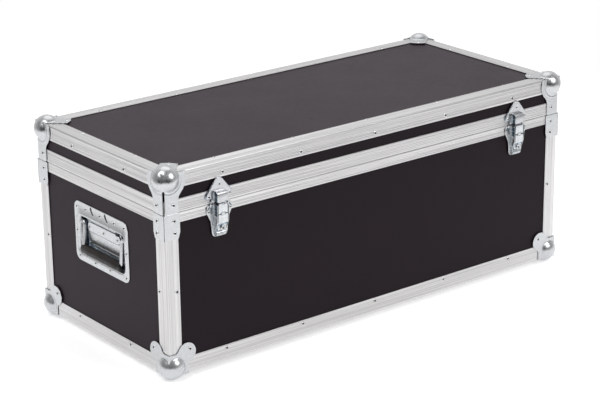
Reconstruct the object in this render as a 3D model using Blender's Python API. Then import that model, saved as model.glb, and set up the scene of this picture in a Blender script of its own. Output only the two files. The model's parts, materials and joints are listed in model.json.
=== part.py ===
"""Lidded transport case of coated plywood panels in an aluminium edge frame.

Metres, +Z up. X runs along the length, the latches face -Y, the hinges are at +Y. The origin is at the
middle of the footprint, on the surface that the four bottom ball corners stand on.
"""
import math

import bmesh
import bpy
from mathutils import Matrix, Vector

# Envelope of the edge frame
LENGTH = 1.000
DEPTH = 0.438
HEIGHT = 0.398
SPLIT = 0.3204  # height of the joint between base and lid, above the frame's underside
SPLIT_TO_TOP = HEIGHT - SPLIT
GAP = 0.0003  # air between neighbouring pieces

# Sheet and panel
PANEL = 0.009
SHEET = 0.0015  # wall of the aluminium angles
ANGLE = 0.030  # leg of the aluminium angles
PLATE = 0.0016  # pressed steel

# Closing frame: bands seen from outside, tongue and groove
BASE_BAND = 0.0198
LID_BAND = 0.0262
TONGUE_HEIGHT = 0.0036
BASE_SEAT = 0.0040  # from the joint down to the end of the slot that takes the base's panels
LID_SEAT = 0.0070  # from the joint up to the end of the slot that takes the lid's panels
LIP = 0.0018  # thickness of the lip behind the panels

# Ball corners
BALL_RADIUS = 0.026
BALL_INSET = 0.014
BALL_WALL = 0.0018
TAB_ROOT = 0.0006  # how far a tab starts inside the frame, before the frame is cut out of it
TAB_FOLD = -0.0012  # where a tab ends past an edge of the case, inside its neighbour's thickness
STAND_OFF = BALL_RADIUS - BALL_INSET  # how far a ball stands out of the frame
FOOT_FLAT = 0.0003  # height of the cap that the small flat under each bottom ball takes off

# Latches and hinges
LATCH_X = 0.378
PROUD = 0.015  # how far latches and hinges stand out of the frame
KEY_HEIGHT = 0.301
HOOK_LIFT = 0.008
WING_AXIS_OUT = 0.0134
WING_AXIS_OFFSET = 0.0016
WING_HALF_WIDTH = 0.0105
EYE_FRONT = 0.0135  # how far the lock eye stands out of its backplate's back
KNUCKLE_RADIUS = 0.005

# Recessed handles
FLANGE_SIZE = (0.187, 0.1225)
FLANGE_MIDDLE = 0.2078
TRAY_SIZE = (0.156, 0.077)
TRAY_MIDDLE = 0.2015
TRAY_DEPTH = 0.022
TRAY_WALL = 0.0015
BAIL_PIVOT = (0.0055, 0.228)  # depth from the flange's face, height above the frame's underside
BAIL_DROP = 0.0535
BAIL_LEAN = 0.003  # how much further out than the pivot the grip hangs
BAIL_HALF_SPAN = 0.064
BAIL_ROD = 0.004
GRIP_RADIUS = 0.009
GRIP_LENGTH = 0.1176

HALF_L = LENGTH / 2
HALF_D = DEPTH / 2
BOTTOM = STAND_OFF - FOOT_FLAT  # the frame's underside in world height
TOP = BOTTOM + HEIGHT
JOINT_Z = BOTTOM + SPLIT
SKIN = SHEET + GAP  # from the frame's envelope to the panels' outer faces
HINGE_Y = HALF_D + PROUD - KNUCKLE_RADIUS

COLOURS = {
    "panel": ((0.022, 0.019, 0.019), 0.42, 0.0),
    "aluminium": ((0.78, 0.77, 0.76), 0.38, 1.0),
    "zinc": ((0.70, 0.73, 0.75), 0.28, 1.0),
    "rubber": ((0.030, 0.027, 0.026), 0.55, 0.0),
}

SIDES = {
    # outward normals of the upright sides
    "front": Vector((0, -1, 0)),
    "back": Vector((0, 1, 0)),
    "left": Vector((-1, 0, 0)),
    "right": Vector((1, 0, 0)),
}


def clear_scene():
    for old in list(bpy.data.objects):
        bpy.data.objects.remove(old)


def new_collection(name):
    collection = bpy.data.collections.new(name)
    bpy.context.scene.collection.children.link(collection)
    return collection


def material_for(name, kind):
    colour, roughness, metallic = COLOURS[kind]
    material = bpy.data.materials.new(name)
    material.use_nodes = True
    shader = material.node_tree.nodes["Principled BSDF"]
    shader.inputs["Base Color"].default_value = (*colour, 1)
    shader.inputs["Roughness"].default_value = roughness
    shader.inputs["Metallic"].default_value = metallic
    return material


def new_part(name, mesh, kind, matrix=None):
    """A sub-part of the case, in the case's own collection."""
    part = bpy.data.objects.new(name, mesh)
    case.objects.link(part)
    mesh.materials.clear()
    mesh.materials.append(material_for(name, kind))
    part.matrix_world = matrix or Matrix()
    return part


def new_tool(name, mesh, matrix=None):
    """A shape that is only joined to a sub-part or cut out of it."""
    tool = bpy.data.objects.new(name, mesh)
    tools.objects.link(tool)
    tool.hide_render = True
    tool.display_type = "WIRE"
    tool.matrix_world = matrix or Matrix()
    return tool


def combine(part, tool, operation):
    modifier = part.modifiers.new(tool.name, "BOOLEAN")
    modifier.operation = operation
    modifier.object = tool
    modifier.solver = "EXACT"


def join(part, tool):
    combine(part, tool, "UNION")


def cut(part, tool):
    combine(part, tool, "DIFFERENCE")


def box_mesh(name, low, high):
    size = Vector(high) - Vector(low)
    middle = (Vector(high) + Vector(low)) / 2
    bm = bmesh.new()
    bmesh.ops.create_cube(bm, size=1)
    bmesh.ops.scale(bm, vec=size, verts=bm.verts)
    bmesh.ops.translate(bm, vec=middle, verts=bm.verts)
    mesh = bpy.data.meshes.new(name)
    bm.to_mesh(mesh)
    bm.free()
    return mesh


def sphere_mesh(name, radius, segments):
    bm = bmesh.new()
    bmesh.ops.create_uvsphere(bm, u_segments=segments, v_segments=segments // 2, radius=radius)
    mesh = bpy.data.meshes.new(name)
    bm.to_mesh(mesh)
    bm.free()
    return mesh


def rod_mesh(name, radius, length, segments=16):
    """A cylinder along its own Z, centred on its origin."""
    bm = bmesh.new()
    bmesh.ops.create_cone(
        bm, cap_ends=True, segments=segments, radius1=radius, radius2=radius, depth=length
    )
    mesh = bpy.data.meshes.new(name)
    bm.to_mesh(mesh)
    bm.free()
    mesh.shade_smooth()
    mesh.set_sharp_from_angle(angle=math.radians(40))
    return mesh


def mesh_of_curve(name, curve):
    """The closed, welded mesh of a curve object, which is removed again."""
    guide = bpy.data.objects.new(name, curve)
    bpy.context.scene.collection.objects.link(guide)
    evaluated = guide.evaluated_get(bpy.context.evaluated_depsgraph_get())
    mesh = bpy.data.meshes.new_from_object(evaluated)
    bpy.data.objects.remove(guide)
    bm = bmesh.new()
    bm.from_mesh(mesh)
    bmesh.ops.remove_doubles(bm, verts=bm.verts, dist=0.00001)
    bm.to_mesh(mesh)
    bm.free()
    return mesh


def outline_mesh(name, outlines, thickness):
    """Flat plate from z = 0 to its thickness. The first outline is the edge, the others are holes."""
    curve = bpy.data.curves.new(name, "CURVE")
    curve.dimensions = "2D"
    curve.fill_mode = "BOTH"
    curve.extrude = thickness / 2
    for outline in outlines:
        spline = curve.splines.new("POLY")
        spline.points.add(len(outline) - 1)
        for point, (u, v) in zip(spline.points, outline):
            point.co = (u, v, 0, 1)
        spline.use_cyclic_u = True
    mesh = mesh_of_curve(name, curve)
    mesh.transform(Matrix.Translation((0, 0, thickness / 2)))
    return mesh


def side_matrix(side, out=0.0, along=0.0):
    """Places a plate on a side: its Y runs up the side, its Z out of it, its X to the viewer's right."""
    normal = SIDES[side]
    upward = Vector((0, 0, 1))
    across = upward.cross(normal)
    reach = {"front": HALF_D, "back": HALF_D, "left": HALF_L, "right": HALF_L}[side]
    origin = normal * (reach + out) + across * along + Vector((0, 0, BOTTOM))
    rotation = Matrix((across, upward, normal)).transposed().to_4x4()
    return Matrix.Translation(origin) @ rotation


def arc(centre, radius, start, end, steps):
    """Points of an arc, angles in degrees."""
    angles = [math.radians(start + (end - start) * i / steps) for i in range(steps + 1)]
    return [(centre[0] + radius * math.cos(a), centre[1] + radius * math.sin(a)) for a in angles]


def rounded_rectangle(size, radius, middle=(0.0, 0.0), steps=4):
    half_u = size[0] / 2 - radius
    half_v = size[1] / 2 - radius
    corners = [(half_u, half_v), (-half_u, half_v), (-half_u, -half_v), (half_u, -half_v)]
    points = []
    for turn, (u, v) in enumerate(corners):
        centre = (middle[0] + u, middle[1] + v)
        points += arc(centre, radius, turn * 90, turn * 90 + 90, steps)
    return points


def rectangle(width, height):
    u = width / 2
    v = height / 2
    return [(u, v), (-u, v), (-u, -v), (u, -v)]


def mirrored(half):
    """A whole outline from its right half, listed from top to bottom."""
    left = [(-u, v) for u, v in reversed(half) if u > 0]
    return half + left


def mitred_length(name, profile, half_length, mitre_gap=0.00025):
    """A bar along X with mitred ends. The profile is (inward, up), measured from its outer edge."""
    bm = bmesh.new()
    verts = [bm.verts.new((-(half_length - u - mitre_gap), -u, v)) for u, v in profile]
    face = bm.faces.new(verts)
    swept = bmesh.ops.extrude_face_region(bm, geom=[face])["geom"]
    for vert in swept:
        if isinstance(vert, bmesh.types.BMVert):
            vert.co.x = -vert.co.x
    bmesh.ops.recalc_face_normals(bm, faces=bm.faces)
    mesh = bpy.data.meshes.new(name)
    bm.to_mesh(mesh)
    bm.free()
    return mesh


def mitred_ring(name, profile):
    """A closed frame round the case from one profile of (inward, up), mitred at its four corners."""
    bm = bmesh.new()
    loops = []
    for sign_x, sign_y in ((1, 1), (-1, 1), (-1, -1), (1, -1)):
        loops.append(
            [bm.verts.new((sign_x * (HALF_L - u), sign_y * (HALF_D - u), v)) for u, v in profile]
        )
    for here, there in zip(loops, loops[1:] + loops[:1]):
        for i in range(len(profile)):
            after = (i + 1) % len(profile)
            bm.faces.new((here[i], here[after], there[after], there[i]))
    bmesh.ops.recalc_face_normals(bm, faces=bm.faces)
    mesh = bpy.data.meshes.new(name)
    bm.to_mesh(mesh)
    bm.free()
    return mesh


def make_base_panels():
    outer_x = HALF_L - SKIN
    outer_y = HALF_D - SKIN
    inner_y = outer_y - PANEL
    floor = BOTTOM + SKIN
    wall_low = floor + PANEL + GAP
    wall_high = JOINT_Z - BASE_SEAT - GAP
    sheet = box_mesh("bottom_panel", (-outer_x, -outer_y, floor), (outer_x, outer_y, floor + PANEL))
    new_part("bottom_panel", sheet, "panel")
    for name, sign in (("front_panel", -1), ("back_panel", 1)):
        faces = sorted((sign * outer_y, sign * inner_y))
        sheet = box_mesh(name, (-outer_x, faces[0], wall_low), (outer_x, faces[1], wall_high))
        new_part(name, sheet, "panel")
    end_depth = 2 * (inner_y - GAP)
    end_middle = (wall_low + wall_high) / 2 - BOTTOM
    edge = [(u, v + end_middle) for u, v in rectangle(end_depth, wall_high - wall_low)]
    opening_size = (TRAY_SIZE[0] + 0.0012, TRAY_SIZE[1] + 0.0012)
    opening = rounded_rectangle(opening_size, 0.0086, (0, TRAY_MIDDLE))
    for side in ("left", "right"):
        name = side + "_end_panel"
        sheet = outline_mesh(name, [edge, opening], PANEL)
        new_part(name, sheet, "panel", side_matrix(side, -SKIN - PANEL))


def make_lid_panels():
    outer_x = HALF_L - SKIN
    outer_y = HALF_D - SKIN
    inner_y = outer_y - PANEL
    roof = TOP - SKIN
    wall_low = JOINT_Z + LID_SEAT + GAP
    wall_high = roof - PANEL - GAP
    sheet = box_mesh("lid_top_panel", (-outer_x, -outer_y, roof - PANEL), (outer_x, outer_y, roof))
    new_part("lid_top_panel", sheet, "panel")
    for name, sign in (("lid_front_panel", -1), ("lid_back_panel", 1)):
        faces = sorted((sign * outer_y, sign * inner_y))
        sheet = box_mesh(name, (-outer_x, faces[0], wall_low), (outer_x, faces[1], wall_high))
        new_part(name, sheet, "panel")
    for name, sign in (("lid_left_panel", -1), ("lid_right_panel", 1)):
        faces = sorted((sign * outer_x, sign * (outer_x - PANEL)))
        end_y = inner_y - GAP
        sheet = box_mesh(name, (faces[0], -end_y, wall_low), (faces[1], end_y, wall_high))
        new_part(name, sheet, "panel")


def make_edge_angles():
    """Mitred angles round the bottom of the base and round the top of the lid."""
    profile = [(0, 0), (ANGLE, 0), (ANGLE, SHEET), (SHEET, SHEET), (SHEET, ANGLE), (0, ANGLE)]
    flipped = [(u, -v) for u, v in profile]
    quarter = {"back": 0, "left": 90, "front": 180, "right": 270}
    for prefix, outline, height in (("bottom_angle_", profile, BOTTOM), ("lid_angle_", flipped, TOP)):
        for side, turn in quarter.items():
            along_x = side in ("front", "back")
            half_length = HALF_L if along_x else HALF_D
            reach = HALF_D if along_x else HALF_L
            rotation = Matrix.Rotation(math.radians(turn), 4, "Z")
            place = Matrix.Translation((0, 0, height)) @ rotation @ Matrix.Translation((0, reach, 0))
            mesh = mitred_length(prefix + side, outline, half_length)
            new_part(prefix + side, mesh, "aluminium", place)


CORNERS = {
    "front_left": (-1, -1),
    "front_right": (1, -1),
    "back_left": (-1, 1),
    "back_right": (1, 1),
}


def corner_mesh(name, outline, thickness, sign_x, sign_y):
    """L-shaped outline plate seen from above, mirrored into one corner of the case, thickness upward."""
    mesh = outline_mesh(name, [outline], thickness)
    mirror = Matrix.Diagonal((-sign_x, -sign_y, 1, 1))
    mesh.transform(mirror)
    if sign_x * sign_y < 0:
        mesh.flip_normals()
    return mesh


def make_posts():
    low = BOTTOM + ANGLE + GAP
    high = JOINT_Z - BASE_BAND - GAP
    outline = [(0, 0), (ANGLE, 0), (ANGLE, SHEET), (SHEET, SHEET), (SHEET, ANGLE), (0, ANGLE)]
    for corner, (sign_x, sign_y) in CORNERS.items():
        name = "corner_post_" + corner
        mesh = corner_mesh(name, outline, high - low, sign_x, sign_y)
        place = Matrix.Translation((sign_x * HALF_L, sign_y * HALF_D, low))
        new_part(name, mesh, "aluminium", place)


def make_closing_frames():
    front = SKIN + PANEL + GAP
    back = front + LIP
    tongue = (0.0056, 0.0082)
    groove = (0.0045, 0.0093)
    base_lip_end = -0.014
    base_profile = [
        (0, -BASE_BAND), (SHEET, -BASE_BAND), (SHEET, -BASE_SEAT), (front, -BASE_SEAT),
        (front, base_lip_end), (back, base_lip_end), (back, 0), (tongue[1], 0),
        (tongue[1], TONGUE_HEIGHT), (tongue[0], TONGUE_HEIGHT), (tongue[0], 0), (0, 0),
    ]
    low = 0.0004
    groove_top = TONGUE_HEIGHT + 0.0013
    lid_lip_end = 0.016
    lid_profile = [
        (0, low), (groove[0], low), (groove[0], groove_top), (groove[1], groove_top), (groove[1], low),
        (back, low), (back, lid_lip_end), (front, lid_lip_end), (front, LID_SEAT), (SHEET, LID_SEAT),
        (SHEET, LID_BAND), (0, LID_BAND),
    ]
    place = Matrix.Translation((0, 0, JOINT_Z))
    base_frame = mitred_ring("base_closing_frame", base_profile)
    lid_frame = mitred_ring("lid_closing_frame", lid_profile)
    new_part("base_closing_frame", base_frame, "aluminium", place)
    new_part("lid_closing_frame", lid_frame, "aluminium", place)


def corner_face_matrices(sign_x, sign_y, edge_z, into_z):
    """For one corner of the case: places (away from one edge, away from the other, outward) plates.

    The two upright faces measure along the face and then away from the top or bottom edge."""
    corner = Vector((sign_x * HALF_L, sign_y * HALF_D, edge_z))
    along_x = Vector((-sign_x, 0, 0))
    along_y = Vector((0, -sign_y, 0))
    along_z = Vector((0, 0, into_z))
    frames = []
    for first, second, outward in (
        (along_x, along_z, -along_y), (along_y, along_z, -along_x), (along_x, along_y, -along_z),
    ):
        place = Matrix((first, second, outward)).transposed().to_4x4()
        place.translation = corner - outward * TAB_ROOT
        frames.append(place)
    return frames


def placed_plate(name, outline, thickness, place):
    """Outline plate moved into place, turned right side out where the place mirrors it."""
    mesh = outline_mesh(name, [outline], thickness)
    mesh.transform(place)
    if place.determinant() < 0:
        mesh.flip_normals()
    return mesh


def leaf_tab():
    """Tab of a bottom corner: a square root folded over the case's edges, then a round lobe."""
    root = 0.0430
    centre = (0.0395, 0.0395)
    neck = [(root, TAB_FOLD), (root, 0.0100), (0.0456, 0.0183), (0.0506, 0.0254)]
    lobe = arc(centre, 0.0205, -26, 116, 9)
    return [(TAB_FOLD, TAB_FOLD)] + neck + lobe + [(v, u) for u, v in reversed(neck)]


def lid_side_tab():
    """Tab of a lid corner on an upright face: broad beside the ball, then a leg down to the split.

    The leg stands clear of its neighbour round the case's edge."""
    width = 0.0480
    leg = 0.0320
    foot = SPLIT_TO_TOP - 0.0008
    slot_half = 0.0018
    slot_end = 0.0312
    shoulder = [(width, 0.0240), (0.0450, 0.0295), (0.0394, 0.0386), (0.0335, 0.0470), (leg, 0.0530)]
    toe = arc((leg - 0.006, foot - 0.006), 0.006, 0, 90, 4)
    inner = [(slot_half, foot), (slot_half, slot_end), (TAB_FOLD, slot_end), (TAB_FOLD, 0.0005)]
    return [(width, 0.0005)] + shoulder + toe + inner


def lid_top_tab():
    """Tab of a lid corner on the top: a wide lobe along the diagonal."""
    half = [(0.0336, 0.0064), (0.0579, 0.0335), (0.0507, 0.0468)]
    return [(0.010, 0.010)] + half + [(v, u) for u, v in reversed(half)]


def make_ball_corner(name, sign_x, sign_y, edge_z, into_z, tabs):
    """Hollow pressed ball over one corner, with one tab on each of the three faces it covers."""
    centre = Vector(
        (sign_x * (HALF_L - BALL_INSET), sign_y * (HALF_D - BALL_INSET), edge_z + into_z * BALL_INSET)
    )
    at_centre = Matrix.Translation(centre)
    ball = new_part(name, sphere_mesh(name, BALL_RADIUS, 20), "zinc", at_centre)
    for index, (outline, place) in enumerate(
        zip(tabs, corner_face_matrices(sign_x, sign_y, edge_z, into_z))
    ):
        tab = placed_plate(name + "_tab_" + str(index), outline, TAB_ROOT + GAP + PLATE, place)
        join(ball, new_tool(tab.name, tab))
    hollow = sphere_mesh(name + "_hollow", BALL_RADIUS - BALL_WALL, 12)
    cut(ball, new_tool(hollow.name, hollow, at_centre))
    reach = 0.120
    x_faces = sorted((sign_x * (HALF_L + GAP), sign_x * (HALF_L - reach)))
    y_faces = sorted((sign_y * (HALF_D + GAP), sign_y * (HALF_D - reach)))
    z_faces = sorted((edge_z - into_z * GAP, edge_z + into_z * reach))
    frame_corner = box_mesh(
        name + "_frame_corner", (x_faces[0], y_faces[0], z_faces[0]), (x_faces[1], y_faces[1], z_faces[1])
    )
    cut(ball, new_tool(frame_corner.name, frame_corner))
    return ball


def cut_foot(ball, sign_x, sign_y):
    """The small flat that a bottom ball stands on, at z = 0."""
    middle = (sign_x * (HALF_L - BALL_INSET), sign_y * (HALF_D - BALL_INSET))
    low = [value - BALL_RADIUS for value in middle]
    high = [value + BALL_RADIUS for value in middle]
    foot = box_mesh(ball.name + "_foot", (*low, -0.010), (*high, 0.0))
    cut(ball, new_tool(foot.name, foot))


def make_ball_corners():
    for corner, (sign_x, sign_y) in CORNERS.items():
        tabs = [leaf_tab()] * 3
        foot_ball = make_ball_corner("base_ball_corner_" + corner, sign_x, sign_y, BOTTOM, 1, tabs)
        cut_foot(foot_ball, sign_x, sign_y)
        tabs = [lid_side_tab(), lid_side_tab(), lid_top_tab()]
        make_ball_corner("lid_ball_corner_" + corner, sign_x, sign_y, TOP, -1, tabs)


def make_corner_braces():
    """L-shaped plates over the posts just under the split, narrower at their lower ends."""
    wide = 0.0335
    narrow = 0.0296
    top = SPLIT - 0.0004
    taper = 0.277
    low = 0.270
    height = top - low
    outline = [
        (-GAP - PLATE, -GAP - PLATE), (wide, -GAP - PLATE), (wide, -GAP),
        (-GAP, -GAP), (-GAP, wide), (-GAP - PLATE, wide),
    ]
    for corner, (sign_x, sign_y) in CORNERS.items():
        name = "corner_brace_" + corner
        mesh = corner_mesh(name, outline, height, sign_x, sign_y)
        for vert in mesh.vertices:
            if vert.co.z < 0.0001:
                for axis in (0, 1):
                    if abs(abs(vert.co[axis]) - wide) < 0.0001:
                        vert.co[axis] = math.copysign(narrow, vert.co[axis])
        place = Matrix.Translation((sign_x * HALF_L, sign_y * HALF_D, BOTTOM + low))
        new_part(name, mesh, "zinc", place)


def make_strike(name, latch_x):
    """Plate on the lid with a hood, open below, that the hook stands in."""
    half = [
        (0, 0.3695), (0.005, 0.3682), (0.0085, 0.3640), (0.0280, 0.3395), (0.0292, 0.3350),
        (0.0270, 0.3315), (0.0160, 0.3300), (0.0155, 0.3215),
    ]
    place = side_matrix("front", GAP, latch_x)
    strike = new_part(name, outline_mesh(name, [mirrored(half)], SHEET), "zinc", place)
    low = 0.3245
    high = 0.3410
    half_width = 0.0130
    wall = 0.0015
    front = PROUD - GAP
    hood = box_mesh(name + "_hood", (-half_width, low, SHEET / 2), (half_width, high, front))
    bevel_front(hood, front, 0.0015)
    join(strike, new_tool(hood.name, hood, place))
    inner = half_width - wall
    pocket_low = (-inner, low - 0.0145, SHEET + GAP)
    pocket_high = (inner, high - wall, front - wall)
    pocket = box_mesh(name + "_pocket", pocket_low, pocket_high)
    cut(strike, new_tool(pocket.name, pocket, place))


def bevel_front(mesh, front, width):
    """Rounds the edges that bound a box's front face, which lies at that height along Z."""
    bm = bmesh.new()
    bm.from_mesh(mesh)
    edges = [e for e in bm.edges if all(abs(v.co.z - front) < 0.00001 for v in e.verts)]
    bmesh.ops.bevel(bm, geom=edges, offset=width, segments=2, affect="EDGES", profile=0.5)
    bm.to_mesh(mesh)
    bm.free()


def make_latch_base(name, latch_x):
    """Backplate with its housing, hollow behind, with a slot for the hook and a round hole for the key."""
    half = [
        (0.0150, 0.3190), (0.0180, 0.3155), (0.0225, 0.3175), (0.0275, 0.3160), (0.0292, 0.3110),
        (0.0285, 0.3030), (0.0235, 0.2930), (0.0200, 0.2860), (0.0185, 0.2750), (0.0175, 0.2630),
        (0.0145, 0.2570), (0.0080, 0.2540),
    ]
    place = side_matrix("front", GAP, latch_x)
    outline = mirrored(half)
    backplate = new_part(name, outline_mesh(name, [outline], SHEET), "zinc", place)
    housing_front = 0.0115
    housing = box_mesh(name + "_housing", (-0.0125, 0.2640, SHEET / 2), (0.0125, 0.3180, housing_front))
    bevel_front(housing, housing_front, 0.0012)
    join(backplate, new_tool(housing.name, housing, place))
    eye_height = 0.0120
    eye = rod_mesh(name + "_eye", 0.0050, eye_height)
    at_eye = place @ Matrix.Translation((0, 0.2715, EYE_FRONT - eye_height / 2))
    join(backplate, new_tool(eye.name, eye, at_eye))
    hollow = box_mesh(name + "_hollow", (-0.0110, 0.2655, -0.001), (0.0110, 0.3165, 0.0100))
    cut(backplate, new_tool(hollow.name, hollow, place))
    slot = box_mesh(name + "_slot", (-0.0066, 0.3100, 0.0052), (0.0066, 0.3300, 0.0095))
    cut(backplate, new_tool(slot.name, slot, place))
    hole = rod_mesh(name + "_key_hole", 0.0063, 0.010)
    cut(backplate, new_tool(hole.name, hole, place @ Matrix.Translation((0, KEY_HEIGHT, 0.0110))))


def make_hook(name, latch_x):
    """Flat draw hook: its tongue stands in the strike's hood, its slot clears the key's spindle."""
    outline = mirrored([
        (0.0060, 0.3300), (0.0060, 0.3080), (0.0100, 0.3055), (0.0100, 0.2680),
    ])
    slot_radius = 0.0066
    slot = arc((0, KEY_HEIGHT), slot_radius, 0, 180, 8)
    slot += arc((0, KEY_HEIGHT - HOOK_LIFT), slot_radius, 180, 360, 8)
    mesh = outline_mesh(name, [outline, slot], 0.003)
    return new_part(name, mesh, "zinc", side_matrix("front", 0.006, latch_x))


def make_key(name, latch_x):
    """Spindle that turns the latch, with the lug that its wings fold on. Its origin is on its axis."""
    place = side_matrix("front", 0, latch_x) @ Matrix.Translation((0, KEY_HEIGHT, 0))
    spindle = rod_mesh(name, 0.0060, 0.0086)
    spindle.transform(Matrix.Translation((0, 0, 0.0077)))
    key = new_part(name, spindle, "zinc", place)
    lug = box_mesh(name + "_lug", (-0.004, -0.0028, 0.0115), (0.004, 0.0028, 0.0147))
    join(key, new_tool(lug.name, lug, place))
    return key


def make_wing(name, key, upward):
    """One wing of the key, flat at rest. Its origin is on the axis that it folds out about."""
    thick = 0.0020
    notch = 0.0044
    tip = 0.0170
    corner = 0.005
    half = [
        *arc((WING_HALF_WIDTH - corner, tip - corner), corner, 90, 0, 4),
        (WING_HALF_WIDTH, -0.001), (notch, -0.001), (notch, 0.0024),
    ]
    outline = half + [(-u, v) for u, v in reversed(half)]
    mesh = outline_mesh(name, [outline], thick)
    mesh.transform(Matrix.Translation((0, 0, -thick / 2)))
    turned = Matrix() if upward else Matrix.Rotation(math.pi, 4, "Z")
    offset = WING_AXIS_OFFSET if upward else -WING_AXIS_OFFSET
    wing = new_part(name, mesh, "zinc")
    wing.parent = key
    wing.matrix_parent_inverse = Matrix()
    wing.matrix_local = Matrix.Translation((0, offset, WING_AXIS_OUT)) @ turned


def make_latches():
    for side, latch_x in (("left", -LATCH_X), ("right", LATCH_X)):
        make_strike("latch_strike_" + side, latch_x)
        make_latch_base("latch_housing_" + side, latch_x)
        make_hook("latch_hook_" + side, latch_x)
        key = make_key("latch_key_" + side, latch_x)
        make_wing("latch_wing_upper_" + side, key, True)
        make_wing("latch_wing_lower_" + side, key, False)


def make_dish(name, side):
    """Flanged tray let into the end panel, with a hole in each side wall for the bail's pins."""
    place = side_matrix(side, -SHEET)
    edge = rounded_rectangle(FLANGE_SIZE, 0.015, (0, FLANGE_MIDDLE))
    dish = new_part(name, outline_mesh(name, [edge], SHEET), "zinc", place)
    middle = (0, TRAY_MIDDLE)
    depth = TRAY_DEPTH
    tray = outline_mesh(name + "_tray", [rounded_rectangle(TRAY_SIZE, 0.008, middle)], depth - SHEET / 2)
    tray_place = side_matrix(side, -depth)
    join(dish, new_tool(tray.name, tray, tray_place))
    inside = (TRAY_SIZE[0] - 2 * TRAY_WALL, TRAY_SIZE[1] - 2 * TRAY_WALL)
    recess = outline_mesh(name + "_recess", [rounded_rectangle(inside, 0.0065, middle)], depth)
    cut(dish, new_tool(recess.name, recess, side_matrix(side, -depth + TRAY_WALL)))
    bore = rod_mesh(name + "_pin_bore", BAIL_ROD + GAP, TRAY_SIZE[0] + 0.001)
    turn = Matrix.Rotation(math.radians(90), 4, "Y")
    at_pivot = side_matrix(side, -BAIL_PIVOT[0]) @ Matrix.Translation((0, BAIL_PIVOT[1], 0)) @ turn
    cut(dish, new_tool(bore.name, bore, at_pivot))


def make_bail(name, side):
    """Bent rod whose ends turn outward into the dish's walls. Its origin is on the pivot's axis."""
    bend = 0.0046
    pin_end = TRAY_SIZE[0] / 2 - 0.0003
    half = [(pin_end, 0)]
    half += [(BAIL_HALF_SPAN + u, v) for u, v in arc((bend, -bend), bend, 90, 180, 4)]
    half += arc((BAIL_HALF_SPAN - bend, -BAIL_DROP + bend), bend, 0, -90, 4)
    points = half + [(-u, v) for u, v in reversed(half)]
    curve = bpy.data.curves.new(name, "CURVE")
    curve.dimensions = "3D"
    curve.bevel_depth = BAIL_ROD
    curve.bevel_resolution = 2
    curve.use_fill_caps = True
    spline = curve.splines.new("POLY")
    spline.points.add(len(points) - 1)
    for point, (u, v) in zip(spline.points, points):
        point.co = (u, v, BAIL_LEAN * -v / BAIL_DROP, 1)
    place = side_matrix(side, -BAIL_PIVOT[0]) @ Matrix.Translation((0, BAIL_PIVOT[1], 0))
    return new_part(name, mesh_of_curve(name, curve), "zinc", place)


def make_grip(name, bail):
    """Moulded sleeve round the bail's lower run."""
    mesh = rod_mesh(name, GRIP_RADIUS, GRIP_LENGTH, 24)
    grip = new_part(name, mesh, "rubber")
    grip.parent = bail
    grip.matrix_parent_inverse = Matrix()
    middle = Matrix.Translation((0, -BAIL_DROP, BAIL_LEAN))
    grip.matrix_local = middle @ Matrix.Rotation(math.radians(90), 4, "Y")
    bpy.context.view_layer.update()
    bore = rod_mesh(name + "_bore", BAIL_ROD + GAP, GRIP_LENGTH + 0.010)
    cut(grip, new_tool(bore.name, bore, grip.matrix_world.copy()))


def make_handles():
    for side in ("left", "right"):
        make_dish("handle_dish_" + side, side)
        bail = make_bail("handle_bail_" + side, side)
        make_grip("handle_grip_" + side, bail)


def knuckle(leaf, name, x_low, x_high, upward):
    """Barrel section of a hinge leaf with the web that joins it to the leaf's plate."""
    turn = Matrix.Rotation(math.radians(90), 4, "Y")
    at_axis = Matrix.Translation(((x_low + x_high) / 2, HINGE_Y, JOINT_Z)) @ turn
    barrel = rod_mesh(name + "_barrel", KNUCKLE_RADIUS, x_high - x_low)
    join(leaf, new_tool(barrel.name, barrel, at_axis))
    heights = sorted((JOINT_Z + upward * 0.0012, JOINT_Z + upward * 0.0060))
    web = box_mesh(name + "_web", (x_low + 0.0002, HALF_D + 0.001, heights[0]),
                   (x_high - 0.0002, HINGE_Y - 0.0010, heights[1]))
    join(leaf, new_tool(web.name, web))


def make_hinge(side, hinge_x):
    """Butt hinge joggled out from the back face: base leaf, lid leaf and pin."""
    half_width = 0.030
    third = 0.020
    bore_radius = 0.0033
    knuckles = {
        "base": [(hinge_x - half_width, hinge_x - third / 2), (hinge_x + third / 2, hinge_x + half_width)],
        "lid": [(hinge_x - third / 2 + 0.0004, hinge_x + third / 2 - 0.0004)],
    }
    turn = Matrix.Rotation(math.radians(90), 4, "Y")
    at_axis = Matrix.Translation((hinge_x, HINGE_Y, JOINT_Z)) @ turn
    for body, spans in knuckles.items():
        upward = 1 if body == "lid" else -1
        name = "hinge_" + body + "_leaf_" + side
        near = SPLIT + upward * 0.0012
        far = SPLIT + upward * 0.0440
        middle = (near + far) / 2
        plate_height = abs(far - near)
        outline = [(u, v + middle) for u, v in rounded_rectangle((0.060, plate_height), 0.005)]
        mesh = outline_mesh(name, [outline], SHEET)
        leaf = new_part(name, mesh, "zinc", side_matrix("back", GAP, -hinge_x))
        for index, (x_low, x_high) in enumerate(spans):
            knuckle(leaf, name + "_" + str(index), x_low, x_high, upward)
        bore = rod_mesh(name + "_bore", bore_radius, 0.080)
        cut(leaf, new_tool(bore.name, bore, at_axis))
    pin = new_part("hinge_pin_" + side, rod_mesh("hinge_pin_" + side, 0.0030, 0.0628), "zinc", at_axis)
    for sign in (-1, 1):
        head = rod_mesh("hinge_pin_head", 0.0042, 0.0012)
        join(pin, new_tool(head.name, head, at_axis @ Matrix.Translation((0, 0, sign * 0.0309))))


def make_hinges():
    for side, hinge_x in (("left", -LATCH_X), ("right", LATCH_X)):
        make_hinge(side, hinge_x)


clear_scene()
case = new_collection("equipment_case")
tools = new_collection("cutters")
make_base_panels()
make_lid_panels()
make_edge_angles()
make_posts()
make_closing_frames()
make_ball_corners()
make_corner_braces()
make_latches()
make_handles()
make_hinges()
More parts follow.
